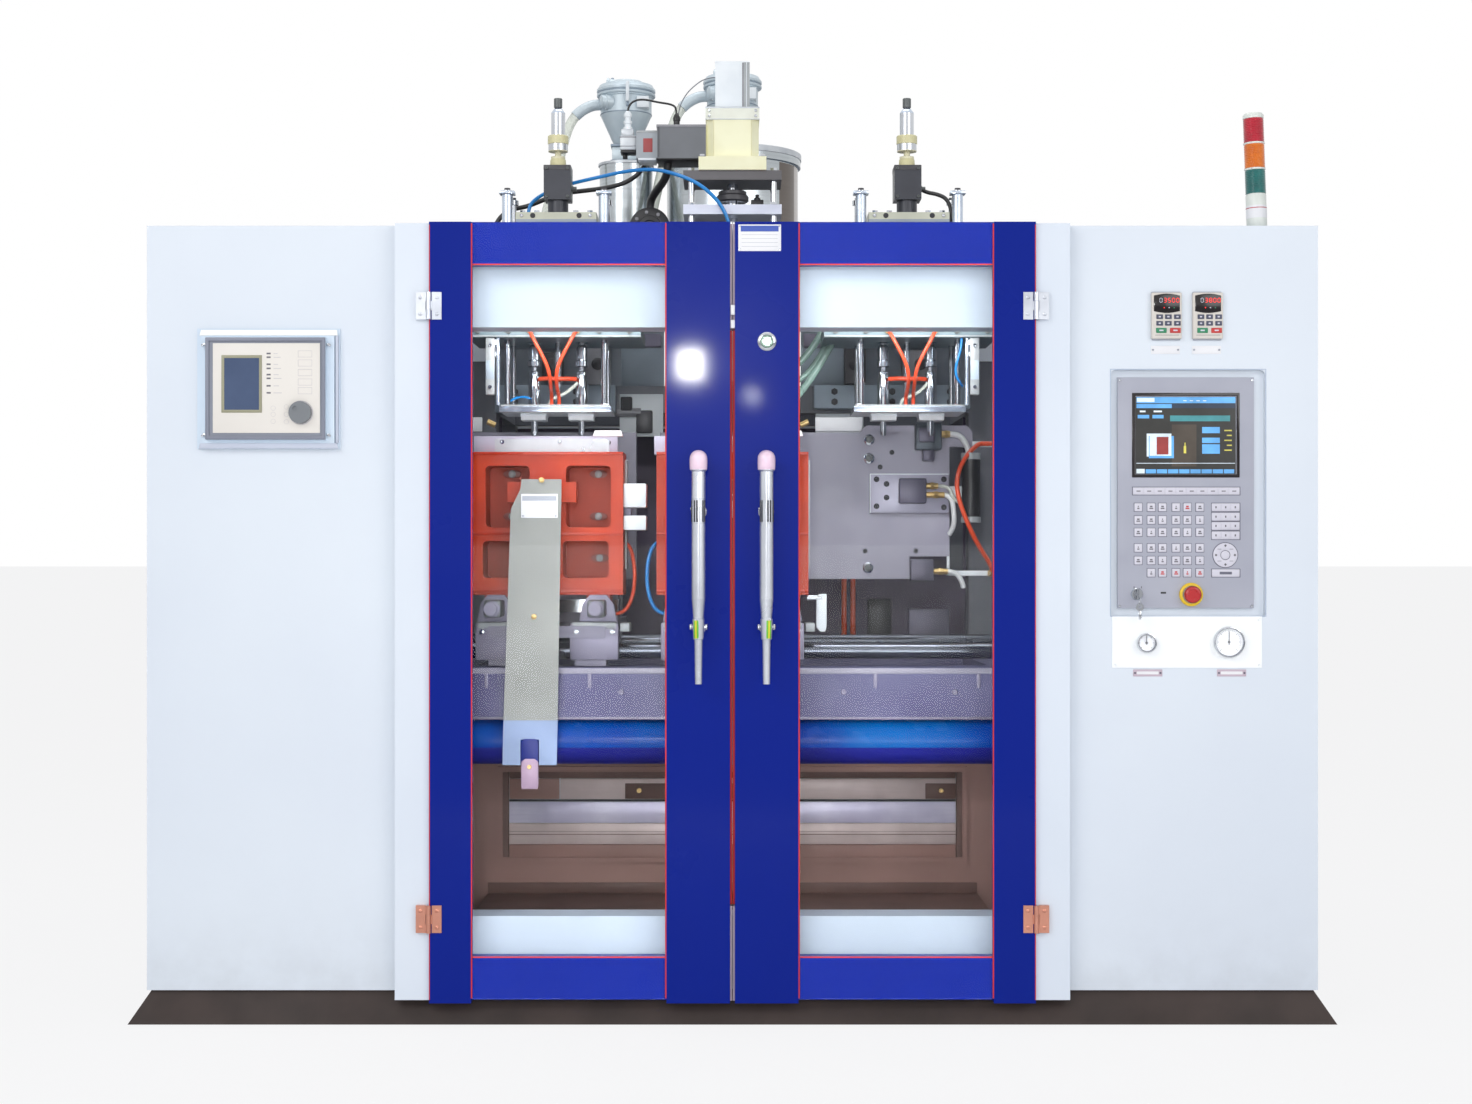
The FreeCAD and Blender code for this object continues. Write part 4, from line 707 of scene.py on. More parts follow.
plate = {"x": (14, 117), "z": (1866, 1930), "front": door["front"] - 1.2, "band": 15, "rivet": 2.4}
(x0, x1), (z0, z1), face = plate["x"], plate["z"], plate["front"]
built("ratingPlate", "right_door", ("labelWhite", "bandBlue", "labelGrey", "chrome"), [
    ((x0, face, z0), (x1, door["front"] + 0.1, z1), 0, 0.5),
    ((x0 + 6, face - 0.3, z1 - 2 - plate["band"]), (x1 - 6, face + 0.1, z1 - 3), 1)] + [
    ((x0 + 8, face - 0.2, z), (x1 - 8, face + 0.1, z + 0.7), 2)
    for z in [z1 - plate["band"] - 10 - row * 9.4 for row in range(4)]] + [
    ("disc", (x, face, z), [(0, 0), (plate["rivet"], 0), (1.9, 0.9), (0, 1.4)], 3, 16)
    for x in (x0 + 4, x1 - 4) for z in (z0 + 4, z1 - 4)])
print("door trim built")

# settings panel on the left cabinet

panel = {"mountX": (-1300, -953), "mountZ": (1392, 1684), "caseX": (-1274, -984), "caseZ": (1413, 1660),
         "faceX": (-1256, -997), "faceZ": (1429, 1646), "front": -931, "screenX": (-1235, -1137),
         "screenZ": (1478, 1617), "lamps": (1621, 1612, 1595, 1585, 1570, 1561, 1543, 1526), "lampX": -1121,
         "keys": (1620, 1598, 1575, 1552, 1531), "knob": (-1043, 1478)}


def ring(kind, place, inner, outer, low, high, index, segments):
    # flat ring of square section
    profile = [(inner, low), (outer, low), (outer, high), (inner, high), (inner, low)]
    return kind, place, profile, index, segments


def settingsPanel():
    (x0, x1), (z0, z1), (c0, c1), (d0, d1) = panel["mountX"], panel["mountZ"], panel["caseX"], panel["caseZ"]
    (s0, s1), (t0, t1), y, lampX = panel["screenX"], panel["screenZ"], panel["front"], panel["lampX"]
    glass = y - 1.4
    lip = (-918, -915.8)
    parts = [
        # the top lip is painted bright as lit from above, the lower and right lips painted lilac as shaded
        ("plate", [(x0 + 8, z1 - 18), (x1 - 4, z1 - 18), (x1 - 6, z1 - 4), (x0 + 12, z1 - 4)], lip, 0, 0.6),
        ("plate", [(x0 + 6, z0), (x1 - 2, z0), (x1 - 6, z0 + 13), (x0 + 10, z0 + 13)], lip, 1, 0.6),
        ("plate", [(x1 - 9, z0 + 14), (x1 - 3, z0 + 14), (x1 - 3, z1 - 19), (x1 - 9, z1 - 19)],
         (-917.4, -905), 1, 0.6),
        ("frame", panel["caseX"], panel["caseZ"], (y - 5, y + 0.5), 9, 3, 2.2),
        ((panel["faceX"][0], y - 1.6, panel["faceZ"][0]),
         (panel["faceX"][1], y - 0.4, panel["faceZ"][1]), 4, 0.5),
        ("frame", panel["screenX"], panel["screenZ"], (y - 3.4, glass), 7, 5, 0.8),
        ((s0 + 7, y - 2.2, t0 + 7), (s1 - 7, glass, t1 - 7), 6)]
    for i, z in enumerate(panel["lamps"]):
        parts += [((lampX - 5, y - 1.9, z - 2), (lampX + 5, glass, z + 2), 7, 0.5),
                  ((lampX + 12, y - 1.8, z - 1), (lampX + 22 + (i * 7) % 13, glass, z + 0.6), 8)]
    parts += [("frame", (-1050, -1016), (z - 8, z + 8), (y - 2.1, glass), 0.8, 8) for z in panel["keys"]]
    parts += [ring("disc", (x, y - 1.5, z), 5.2, 5.8, 0, 0.5, 8, 24) for x, z in (
        (-1110, 1489), (-1110, 1474), (-1110, 1457), (-1078, 1456), (-1078, 1492), (-1078, 1474))]
    parts += [ring("disc", (panel["knob"][0], glass, panel["knob"][1]), 27, 29.5, -0.2, 0.4, 8, 40)]
    # corner clips that hold the case on its mount
    for low, high, edge in ((c0 - 9, c0, c0 - 9), (c1, c1 + 9, c1 + 9)):
        for z in (d0 + 12, d1 - 16):
            parts += [((low, -923, z - 3), (high, -916, z + 3), 2, 1), ("screw", (edge, -923, z - 2), 4, 2)]
    return parts


built("settingsPanelTrim", "frame",
      ("litLipWhite", "shadedLipLilac", "chrome", "bezelGrey", "creamFace", "borderOlive",
       "lcdBlue", "inkGrey", "inkPale"), settingsPanel())
knobRibs = [(panel["knob"][0] + cos(tau * i / 24) * 26.3, panel["knob"][1] + sin(tau * i / 24) * 26.3)
            for i in range(24)]
built("settingsKnobRibs", "settings_knob", ("knobGrey",),
      [("rod", (x, -933, z), (x, -947, z), 0.8, 0, 6) for x, z in knobRibs])

# drive keypads, operator panel and gauges on the right cabinet

keypad = {"width": 73, "height": 112, "bottom": 1659, "front": -914, "left": (1017, 1117),
          "keyX": (19, 40, 62), "keyZ": (1712, 1696)}
sevenBars = {"a": (0, 1), "b": (1, 0.5), "c": (1, -0.5), "d": (0, -1), "e": (-1, -0.5),
             "f": (-1, 0.5), "g": (0, 0)}
digitBars = {"0": "abcdef", "5": "afgcd", "3": "abgcd", "8": "abcdefg"}


def digitParts(digit, x, z, y, size, index):
    # one seven-bar display digit
    parts = []
    for across, rise in [sevenBars[bar] for bar in digitBars[digit]]:
        cx, cz = x + across * size * 0.3, z + rise * size * 0.5
        wide, tall = (size * 0.07, size * 0.19) if across else (size * 0.22, size * 0.07)
        parts += [((cx - wide, y - 0.3, cz - tall), (cx + wide, y, cz + tall), index)]
    return parts


def driveKeypad(left, digits):
    bottom, y = keypad["bottom"], keypad["front"]
    right, top = left + keypad["width"], bottom + keypad["height"]
    display = y - 1.2
    bulge = [sin(pi * i / 10) * 4.5 for i in range(11)]
    arch = [(left + 5 + 6.3 * i, 1763.5 + rise) for i, rise in enumerate(bulge)]
    arch += [(left + 68 - 6.3 * i, 1725.5 - rise) for i, rise in enumerate(bulge)]
    parts = [((left, y, bottom), (right, -900, top), 0, 2.2, 3),
             ((left + 2, y + 9, bottom - 3), (right - 2, -899.8, top + 3), 9, 1),
             ("plate", arch[::-1], (display, y + 0.5), 1, 0.4)]
    for i, digit in enumerate(digits):
        parts += digitParts(digit, left + 22 + i * 10.2, 1752, display, 10, 2 if i else 3)
    parts += [("disc", (left + 30 + i * 12, display, 1734),
               [(0, 0), (1.6, 0), (1.2, 0.5), (0, 0.6)], index, 12)
              for i, index in enumerate((2, 3, 5))]
    for x, z in [(left + x, z) for z in keypad["keyZ"] for x in keypad["keyX"]]:
        parts += [((x - 8.2, y - 1.8, z - 5.6), (x + 8.2, y + 0.4, z + 5.6), 4, 1.2),
                  ((x - 2.6, y - 2.1, z - 1.8), (x + 2.6, y - 1.6, z + 1.8), 3, 0.3, 1)]
    for x, index in ((left + 10, 5), (left + 44, 6)):
        parts += [((x, y - 1.8, 1672.6), (x + 26, y + 0.4, 1685), index, 1.4),
                  ((x + 8, y - 2.1, 1677), (x + 18, y - 1.6, 1680.6), 3, 0.3, 1)]
    # rule and the blank tag below
    return parts + [((left + 8, y - 0.2, 1667), (left + 66, y + 0.2, 1668), 7),
                    ((left, -901.6, 1623), (left + 71, -899.9, 1643), 8, 0.6),
                    ("screw", (left + 5, -901.6, 1633), 3, 9), ("screw", (left + 66, -901.6, 1633), 3, 9)]


for name, left, digits in (("driveKeypadA", keypad["left"][0], "03500"),
                           ("driveKeypadB", keypad["left"][1], "03800")):
    built(name, "frame",
          ("keypadBody", "displayDark", "digitRed", "keyWhite", "keyNavy", "keyGreen", "keyRed",
           "inkGrey", "labelWhite", "labelGrey"), driveKeypad(left, digits))

operator = {
    "front": -892, "frameX": (973, 1235), "frameZ": (1323, 1529), "lcdX": (981, 1226), "lcdZ": (1331, 1520),
    "columns": (988, 1019.5, 1047, 1080, 1107.5, 1138), "rows": (1250.5, 1219.5, 1189.5, 1151.5, 1121, 1091),
    "numberX": (1177, 1200.7, 1224), "numberZ": (1250.5, 1227.5, 1205, 1182), "ring": (1200, 1134),
    "stop": (1116, 1038), "key": 985,
}
y = operator["front"]

# generic picture on the screen: bars, cells, a mould block and a bottle
shapes = [((984, 1504), (1225, 1519), 1), ((985, 1507), (1028, 1517), 3), ((984, 1492), (1070, 1502), 1),
          ((1070, 1492), (1225, 1502), 6), ((987, 1467), (1015, 1475.5), 1),
          ((1023, 1467), (1050, 1475.5), 1), ((992, 1482), (1006, 1486), 3),
          ((1026, 1482), (1046, 1486), 3), ((1066, 1460), (1212, 1474), 2),
          ((1144, 1431), (1187, 1446), 1), ((1144, 1407), (1187, 1420), 1), ((1144, 1381), (1187, 1404), 1),
          ((1070, 1350), (1130, 1452), 7), ((1009, 1374), (1069, 1430), 3), ((1014, 1370), (1075, 1424), 1),
          ((1016, 1376), (1069, 1424), 3), ((1033, 1379), (1062, 1422), 4), ((1099, 1382), (1105, 1400), 5),
          ((1101, 1400), (1103.5, 1408), 5), ((984, 1357), (1224, 1358.4), 3), ((984, 1333), (1004, 1344), 3)]
shapes += [((1006.5 + i * 27.2, 1333), (1031.5 + i * 27.2, 1343), 1) for i in range(8)]
shapes += [((1198 + (i % 2) * 6, 1436 - i * 12), (1216, 1439 - i * 12), 5) for i in range(5)]
(x0, x1), (z0, z1) = operator["lcdX"], operator["lcdZ"]
built("operatorScreen", "frame", tuple(screenTints),
      [((x0, y + 0.6, z0), (x1, y + 2.6, z1), 0)] + [
    ((low[0], y + 0.55 - 0.02 * (i + 1), low[1]), (high[0], y + 0.7, high[1]), index)
    for i, (low, high, index) in enumerate(shapes)] + [
    ((1098 + i * 16, y + 0.2, 1509), (1106 + i * 16, y + 0.6, 1511), 3) for i in range(4)])


def operatorKeys():
    numberZ = operator["numberZ"]
    x, z = operator["ring"]
    socket, key, sunk = y + 0.3, y - 2.4, y - 0.9
    # dark sockets under the soft keys, the number pills and the arrow ring
    parts = [("frame", operator["frameX"], operator["frameZ"], (y - 2, y + 0.4), 7.6, 0, 0.9),
             ((973, sunk, 1279.5), (1237, socket, 1300.5), 2, 0.5),
             ((1166, sunk, 1079.6), (1237, socket, 1101), 2, 0.5)]
    parts += [((1166, y - 0.8, z - 11.2), (1237, socket, z + 11.2), 2, 0.5) for z in numberZ]
    parts += [("disc", (x, y, z), [(0, -0.2), (31.4, -0.2), (31.4, 0.7), (0, 0.7)], 2, 48),
              ((975, y - 1.2, 1281), (1235, socket, 1299), 1, 0.6)]
    for left in [976.5 + i * 25.9 for i in range(10)]:
        parts += [((left, key, 1282.5), (left + 23.6, y - 1, 1297.5), 1, 0.9),
                  ((left + 7, y - 2.6, 1288.6), (left + 17, y - 2.2, 1291), 3)]
    for row, kz in enumerate(operator["rows"]):
        for column, kx in enumerate(operator["columns"]):
            if (row, column) == (5, 0):
                continue
            ink = 4 if (row, column) in ((0, 4), (5, 2), (5, 3), (5, 4), (5, 5)) else 3
            wide = 4.6 if (row + column) % 3 else 2.6
            parts += [((kx - 10.6, sunk, kz - 11), (kx + 10.6, socket, kz + 11), 2, 0.5),
                      ((kx - 9.4, y - 2.6, kz - 9.8), (kx + 9.4, y - 0.6, kz + 9.8), 1, 1.3),
                      ((kx - wide, y - 2.8, kz - 4.4), (kx + wide, key, kz - 1.4), ink),
                      ((kx - wide + 1.4, y - 2.8, kz), (kx + wide - 1.6, key, kz + 3.6), ink)]
    for kz in numberZ:
        parts += [((1167.5, y - 1.2, kz - 9.6), (1235, socket, kz + 9.6), 1, 0.6)]
        for kx in operator["numberX"]:
            parts += [((kx - 10.2, y - 2.6, kz - 8), (kx + 10.2, y - 1, kz + 8), 1, 1.2),
                      ((kx - 1.6, y - 2.8, kz - 2.6), (kx + 1.6, key, kz + 2.6), 3)]
    # arrow ring
    parts += [("disc", (x, y, z),
               [(12, -0.3), (29.5, -0.3), (29.5, 2), (28, 2.8), (13.4, 2.8), (12, 2)], 1, 48),
              ("disc", (x, y, z), [(0, -0.3), (10.6, -0.3), (10.6, 1.8), (9, 2.6), (0, 2.8)], 1, 36)]
    for i in range(4):
        a, b = radians(45 + i * 90), radians(i * 90)
        kx, kz, px, pz = x + cos(a) * 20.5, z + sin(a) * 20.5, x + cos(b) * 23, z + sin(b) * 23
        parts += [((kx - 4.6, y - 3, kz - 0.6), (kx + 4.6, y - 2.5, kz + 0.6), 2),
                  ("rod", (px, key, pz), (px, y - 3.1, pz), 3.4, 3, 4)]
    parts += [((1167.5, y - 2, 1081), (1235, socket, 1099.5), 1, 1.4),
              ((1186, key, 1087), (1216, y - 1.8, 1093.5), 2, 0.4),
              ((1043, y - 0.5, 1040), (1056, socket, 1044.5), 5, 0.4)]
    parts += [("screw", (px, y, pz), 4, 6)
              for px, pz in ((943, 1560), (1265, 1560), (1265, 1010), (943, 1010))]
    parts += [((px - 1, y - 0.4, 1053), (px + 1, y + 0.2, 1058), 3) for px in (978, 996)]
    return parts + [("disc", (operator["key"], y, 1039),
                     [(9.4, -0.3), (15, -0.3), (15, 2.4), (13, 4.4), (9.4, 4.4),
                      (9.4, -0.3)], 6, 36)]


built("operatorKeys", "frame",
      ("displayDark", "keyWhite", "keyGrey", "inkGrey", "keyRed", "blackPlastic", "chrome"),
      operatorKeys())
x, z = operator["stop"]
built("stopRing", "frame", ("stopYellow",), [
    ("disc", (x, y - 8, z),
     [(8.4, -7.7), (28.4, -7.7), (28.4, 0.6), (26, 2.4), (21.6, 2.6), (21.6, -6.6), (8.4, -6.6)],
     0, 56)])
built("stopHeadTrim", "stop_button", ("stopRed",), [
    ("disc", (x, y - 24, z), [(20.2, -6), (20.8, -4), (20.8, 3), (20.2, 5)], 0, 56)] + [
    ("rod", (x + cos(a) * 12, y - 31.4, z + sin(a) * 12),
     (x + cos(a + 0.5) * 12, y - 32.7, z + sin(a + 0.5) * 12),
     1.3, 0, 10) for a in (radians(30), radians(150), radians(270))])
# spare key and ring hanging from the key switch
x = operator["key"]
built("spareKey", "key_switch", ("chrome",), [
    ("turn", (x, -930, 1024), (1, 0, 0), [(9, -0.7), (9.8, -0.7), (9.8, 0.7), (9, 0.7), (9, -0.7)], 0, 36),
    ("turn", (x, -930, 1008), (0.1, -1, 0), [(3, -1), (10, -1), (10.4, 0), (10, 1), (3, 1), (3, -1)], 0, 24),
    ((x - 3, -931, 978), (x + 3, -929, 999), 0, 0.5)] + [
    ((x + 3, -931, z), (x + 4.6, -929, z + 2), 0) for z in (982, 986, 990)])

gauges = ((1005, 921, 23, 23.6), (1205, 923, 36.5, 40.5))


def gaugeTrim():
    rim, face = -918, -908.6
    parts = []
    for x, z, r, flange in gauges:
        parts += [("disc", (x, rim, z),
                   [(r - 3.2, -9), (r - 3.2, 1.4), (r - 1.6, 3.4), (r + 0.6, 2.6), (r + 1.2, -1),
                    (r + 1.2, -8)], 0, 56),
                  ("disc", (x, -903, z),
                   [(r, -0.2), (flange + 2, -0.2), (flange + 2, 1.4), (flange, 2.6), (r, 2.6)], 3, 56),
                  ring("disc", (x, face, z), 1.8, r - 3.3, -0.2, 0.4, 1, 48)]
        for i in range(31):
            a = radians(225 - i * 9)
            start, end, thick = r * (0.74 if i % 5 else 0.66), r * 0.82, 0.35 if i % 5 else 0.6
            parts += [("rod", (x + cos(a) * start, face - 0.7, z + sin(a) * start),
                       (x + cos(a) * end, face - 0.7, z + sin(a) * end), thick, 2, 4)]
        parts += [("disc", (x, rim + 4, z), [(0, 0), (2.6, 0), (2.6, 1), (0, 1.6)], 2, 20)]
    for x in (974, 1178):
        parts += [((x, -901.8, 839), (x + 71, -899.9, 856), 4, 0.7),
                  ((x + 9, -902, 844), (x + 62, -901.6, 851), 1, 0.2, 1),
                  ("screw", (x + 4.5, -901.8, 847.5), 3, 5), ("screw", (x + 66.5, -901.8, 847.5), 3, 5)]
    return parts + [("screw", (x, -903, z), 4, 3) for x in (930, 1280) for z in (867, 978)]


built("gaugeTrim", "frame", ("chrome", "labelWhite", "inkGrey", "plateWhite", "sealPale", "keyGrey"),
      gaugeTrim())
built("gaugeGlasses", "frame", ("dialGlass",), [
    ("disc", (x, -916.6, z), [(0, 0), (r - 3.4, 0), (r - 3.4, 1), (0, 1.8)], 0, 40)
    for x, z, r, flange in gauges])

# rolled rim of the panel recess with its rounded upper corners; its bluish border is painted shade along the
# recess edge
recess = {"x": (920, 1296), "z": (986, 1585), "r": 14}
(x0, x1), (z0, z1), r = recess["x"], recess["z"], recess["r"]
built("recessTrim", "frame", ("cabinetWhite", "rimShade"), [
    ("plate", [(x, z1)] + [(x + way * r * (1 - cos(i * pi / 16)), z1 - r * (1 - sin(i * pi / 16)))
                           for i in range(9)],
     (-900, -881), 0) for x, way in ((x0, 1), (x1, -1))] + [
    ("frame", (x0 - 2, x1 + 2), (z0 - 2, z1 + 2), (-900.9, -899.8), 2.4, 1, 0.4)])

# signal tower, modelled upright at the origin and then leant over

tower = {"place": (1305, -780, 1935), "r": 25.2, "base": 97, "lens": 59, "gap": 5, "cap": 13, "lean": 2.0}


def towerParts():
    r, z, lens, gap, cap = tower["r"], tower["base"], tower["lens"], tower["gap"], tower["cap"]
    origin = (0, 0, 0)
    parts = [("post", origin,
              [(0, 1), (r - 2, 1), (r, 4), (r, z - 4), (r - 1.2, z - 2), (r - 1.2, z)], 0, 48),
             ("post", (0, 0, 36), [(r - 0.1, 0), (r + 0.35, 0.3), (r + 0.35, 31), (r - 0.1, 31.4)], 4, 48),
             ("post", (0, 0, 60), [(r + 0.2, 0), (r + 0.6, 0.2), (r + 0.6, 2), (r + 0.2, 2.2)], 1, 48)]
    for index in (3, 2, 1):
        ribs = [(r - 1, z)]
        for low in [z + 1 + i * (lens - 2) / 13 for i in range(13)]:
            ribs += [(r, low), (r - 0.5, low + 3.4), (r - 0.7, low + 3.9)]
        parts += [("post", origin, ribs + [(r - 1, z + lens)], index, 48)]
        z += lens
        if index > 1:
            parts += [("post", (0, 0, z),
                       [(r - 1, 0), (r + 0.5, 0.6), (r + 0.5, gap - 0.6), (r - 1, gap)], 0, 48)]
            parts += [((x - 1.6, y - 1.6, z + 1), (x + 1.6, y + 1.6, z + 4), 5, 0.4)
                      for x, y in [(cos(tau * i / 6) * r, sin(tau * i / 6) * r) for i in range(6)]]
            z += gap
    return parts + [("post", (0, 0, z),
                     [(r - 1, 0), (r + 0.3, 0.5), (r + 0.3, 8), (r - 3, cap), (0, cap + 0.2)], 0, 48)]


lean = Matrix.Translation(tower["place"]) @ Matrix.Rotation(radians(-tower["lean"]), 4, "Y")
built("signalTower", "frame", ("towerPale", "lensRed", "lensAmber", "lensGreen", "labelWhite", "inkPale"),
      towerParts(), matrix=lean, replaced=("signal_tower",))
print("operator side built")

# parts above the roof

built("actuatorTrim", "frame", (
    "loaderWhite", "boxGrey", "servoGrey", "tagRed", "chrome", "blackPlastic", "castPale", "ringCream"),
      [
    # the cover's right strip is painted grey as its shaded side facet
    ((-46.4, -346.4, 2336), (26, -344.6, 2461.6), 0, 0.5), ((30, -346, 2336), (46.3, -344.6, 2461.6), 1, 0.5),
    ((26, -345.6, 2336), (30, -344.8, 2461.6), 2), ((37, -346.6, 2337), (38.6, -345.6, 2461), 0),
    ((-47, -346, 2461), (46.6, -264, 2464.5), 0, 0.8),
    ((-72.6, -377.6, 2301), (72.6, -376.6, 2303.4), 6, 0.3),
    ((-72.4, -377.5, 2331), (72.4, -232.6, 2335.6), 6, 1),
    ((-51, -376.4, 2203), (-49.4, -375.2, 2301), 7), ((49.4, -376.4, 2203), (51, -375.2, 2301), 7)] + [
    ("bolt", (x, y, 2199.8), 6.7, 13, 4) for x in (-81, 81) for y in (-386, -224)] + [
    ("screw", (x, -377, z), 5, 4) for x in (-62, 62) for z in (2311, 2325)] + [
    # servo housing: seam, corner screws, plain red tag, foot plate
    ((-198, -366.6, 2203), (-196.6, -364.8, 2286), 5), ((-202, -365.6, 2196.5), (-72, -245, 2200.4), 5, 0.8),
    ((-204, -367, 2283.6), (-70.8, -243, 2290.4), 2, 1), ((-240, -346.2, 2220), (-215, -344.8, 2257), 3, 0.4),
    ((-254, -345.6, 2198.6), (-206, -266, 2204.2), 0, 1),
    ((-258.6, -346, 2272), (-202, -264.6, 2278.4), 1, 1),
    # connectors on its left end
    ((-303, -332, 2229), (-259.6, -286, 2268), 6, 3), ((-304, -333, 2262), (-259, -285, 2265), 2, 1),
    ((-304, -333, 2238), (-259, -285, 2240), 2, 1), ((-300, -330, 2268), (-267, -288, 2286), 6, 3),
    ((-302, -331, 2221), (-256, -287, 2229), 5, 2), ("bolt", (-290, -309, 2208), 14, 13, 5),
    ("post", (-283, -309, 2286),
     [(0, 0), (12, 0), (12, 8), (9, 9), (9, 16), (11.5, 17), (11.5, 24), (8, 26), (8, 34),
      (10.5, 35), (10.5, 44), (6, 50), (3, 52)], 0),
    ("post", (-151, -305, 2289), [(0, 0), (12, 0), (12, 8), (8.4, 10), (8.4, 22), (10, 23), (10, 31), (6, 40),
                                  (3, 44)], 5),
    # round valve cover with its bolts
    ("disc", (-226, -250, 2031),
     [(0, 0), (55.5, 0), (55.5, 5), (50, 8), (33, 8), (31, 12), (20, 13), (18, 9), (0, 9)],
     5, 48)] + [
    ("head", (x, -257, z), 6, 9, 2)
    for x, z in [(-226 + cos(a) * 42, 2031 + sin(a) * 42) for a in [tau * i / 8 + 0.2 for i in range(8)]]] + [
    # small parts between the two plates
    ((50, -322, 2073), (84, -288, 2096), 5, 2),
    ("post", (67, -305, 2096), [(0, 0), (9, 0), (9, 6), (5, 9), (5, 16), (0, 17)], 5)] + [
    ("bolt", (x, y, z), 9, 17, 4) for x in (-110, 110) for y in (-365, -245) for z in (2164, 2073)])
built("spindleNut", "parison_cores", ("blockDark",), [("post", (0, -305, 2090), [
    (15, 0), (38, 0), (44, 4), (44, 16), (40, 20), (38, 21), (38, 29), (34, 31), (15, 31)], 0, 48)])
wires = {
    "blueHose": ([(-556, -275, 2053), (-556, -275, 2085), (-532, -264, 2112), (-490, -257, 2135),
                  (-435, -256, 2153), (-365, -275, 2165), (-285, -312, 2176), (-210, -356, 2173),
                  (-150, -397, 2152), (-95, -412, 2127), (-58, -414, 2098), (-30, -414, 2066),
                  (-12, -412, 2030), (-3, -408, 1985), (0, -405, 1945), (0, -405, 1918)], 5, "hoseBlue",
                 "hose_blue", "medium", ("blue_hose",)),
    "blackHose": ([(-665, -200, 1930), (-665, -200, 1980), (-661, -199, 2030), (-640, -197, 2072),
                   (-606, -195, 2092), (-568, -195, 2098), (-528, -195, 2114), (-480, -195, 2134),
                   (-420, -195, 2141), (-350, -195, 2149), (-292, -196, 2164), (-252, -202, 2192),
                   (-236, -218, 2220), (-230, -244, 2238), (-230, -265, 2238)],
                  6.5, "hoseBlack", "hose_black", "stiff", ("black_hoses",)),
    "servoCable": ([(-175, -305, 2200), (-175, -305, 2176), (-186, -286, 2152), (-208, -252, 2132),
                    (-226, -220, 2110), (-226, -220, 2086)], 11, "hoseBlack", "hose_black", "stiff",
                   ("black_hoses",)),
    "servoWire": ([(-151, -305, 2304), (-151, -305, 2340), (-158, -306, 2356), (-205, -310, 2362),
                   (-240, -311, 2370), (-268, -310, 2366), (-283, -309, 2348), (-283, -309, 2320),
                   (-283, -309, 2289)], 2.8, "hoseBlack"),
    "columnWire": ([(-148, -303, 2300), (-148, -303, 2340), (-128, -300, 2384), (-100, -298, 2412),
                    (-72, -297, 2430), (-46, -296, 2432)], 1.5, "frameGrey"),
    "rightBlowLoop": ([(508, -305, 2128), (524, -308, 2118), (552, -318, 2112), (578, -330, 2098),
                       (590, -340, 2064), (592, -344, 2010), (592, -344, 1932)], 5.5, "hoseBlack"),
    "coolantA": ([(296, -240, 1862), (298, -240, 1800), (292, -244, 1750), (262, -250, 1697),
                  (225, -252, 1634), (186, -250, 1580), (150, -248, 1545), (114, -256, 1548)], 9.5,
                 "hoseGreen"),
    "coolantB": ([(262, -226, 1862), (262, -226, 1800), (248, -226, 1752), (220, -228, 1707),
                  (190, -230, 1668), (150, -232, 1640)], 9.5, "hoseGreen"),
    "coolantC": ([(278, -206, 1862), (280, -206, 1790), (266, -206, 1730), (236, -206, 1676),
                  (200, -206, 1628), (164, -214, 1610), (149, -236, 1612)], 8, "hoseGreen"),
    "valveHose": ([(606, -440, 1709), (604, -444, 1680), (594, -446, 1650), (589, -444, 1627),
                   (593, -438, 1606), (604, -426, 1592), (612, -404, 1586)], 3.4, "hoseBlue", "hose_blue"),
}
for name, row in wires.items():
    points, radius, look, slotName, stiffness, replaced = row + ("hose_black", "medium", ())[len(row) - 3:]
    hose(name, points, radius, look, "frame", slotName, stiffness, replaced=replaced)

# blowing units above the roof: rod sleeves, caps and fittings
blowTop = [
    ("post", (0, -305, 2247), [(19, 0), (26, 0), (28, 2), (28, 22), (26, 24), (19, 24)], 1, 40),
    ("post", (0, -305, 2331), [(19, 0), (19, 2), (12, 12), (9.4, 13)], 0, 36),
    ("post", (0, -305, 2347), [(9.4, 0), (11.4, 1), (11.4, 24), (10, 25.5), (0, 25.6)], 2, 28)]
for x in (-129, 129):
    blowTop += [("post", (x, -385, 1990), [(9, 0), (14.4, 0), (14.4, 108), (9, 108)], 0, 32),
                ((x - 20.5, -404, 2098), (x + 20.5, -366, 2107), 0, 1.6),
                ("bolt", (x, -385, 2107), 9, 15, 3), ("bolt", (x, -225, 2108.8), 8.2, 15, 4)]
blowBlock = [
    ((-36.6, -341.6, 2172), (36.6, -268.4, 2187), 0, 1.4), ((35.8, -340, 2096), (36.8, -270, 2186), 4, 0.3),
    ("post", (0, -305, 2187), [(20, 0), (22, 4), (21, 18), (16, 27), (9.2, 27)], 1, 36),
    ("post", (0, -305, 2186), [(0, 0), (24, 0), (24, 3), (20, 4)], 2, 36),
    ("rod", (14, -332.4, 2070), (14, -332.4, 2090), 0.4, 4),
    ("turn", (36, -305, 2128), (1, 0, 0), [(0, 0), (8, 0), (8, 5), (6, 6), (6, 14), (0, 14)], 4, 24)] + [
    ("screw", (x, -341.4, z), 5, 4) for x in (-28, 28) for z in (2102, 2178)] + [
    # stand head: holes drawn as dark discs of painted shade, and screws along its front
    ("disc", (x, -380.2, 2044), [(0, 0), (7, 0), (7, 0.8), (0, 0.8)], 3, 24) for x in (-62, 62)] + [
    ("screw", (x, -380, 2044), 6, 2) for x in (-92, 92)] + [
    ("bolt", (x, -362, 2053), 7, 14, 2) for x in (-90, -52, 52, 90)]
for station, x in stations:
    built(station + "BlowTop", station + "_blow_unit",
          ("sleeveBlue", "ringCream", "tipGrey", "blockDark", "chrome"),
          blowTop, x)
    built(station + "BlowBlock", "frame",
          ("blockDark", "ringCream", "chrome", "holeDark", "tipGrey"),
          blowBlock, x)

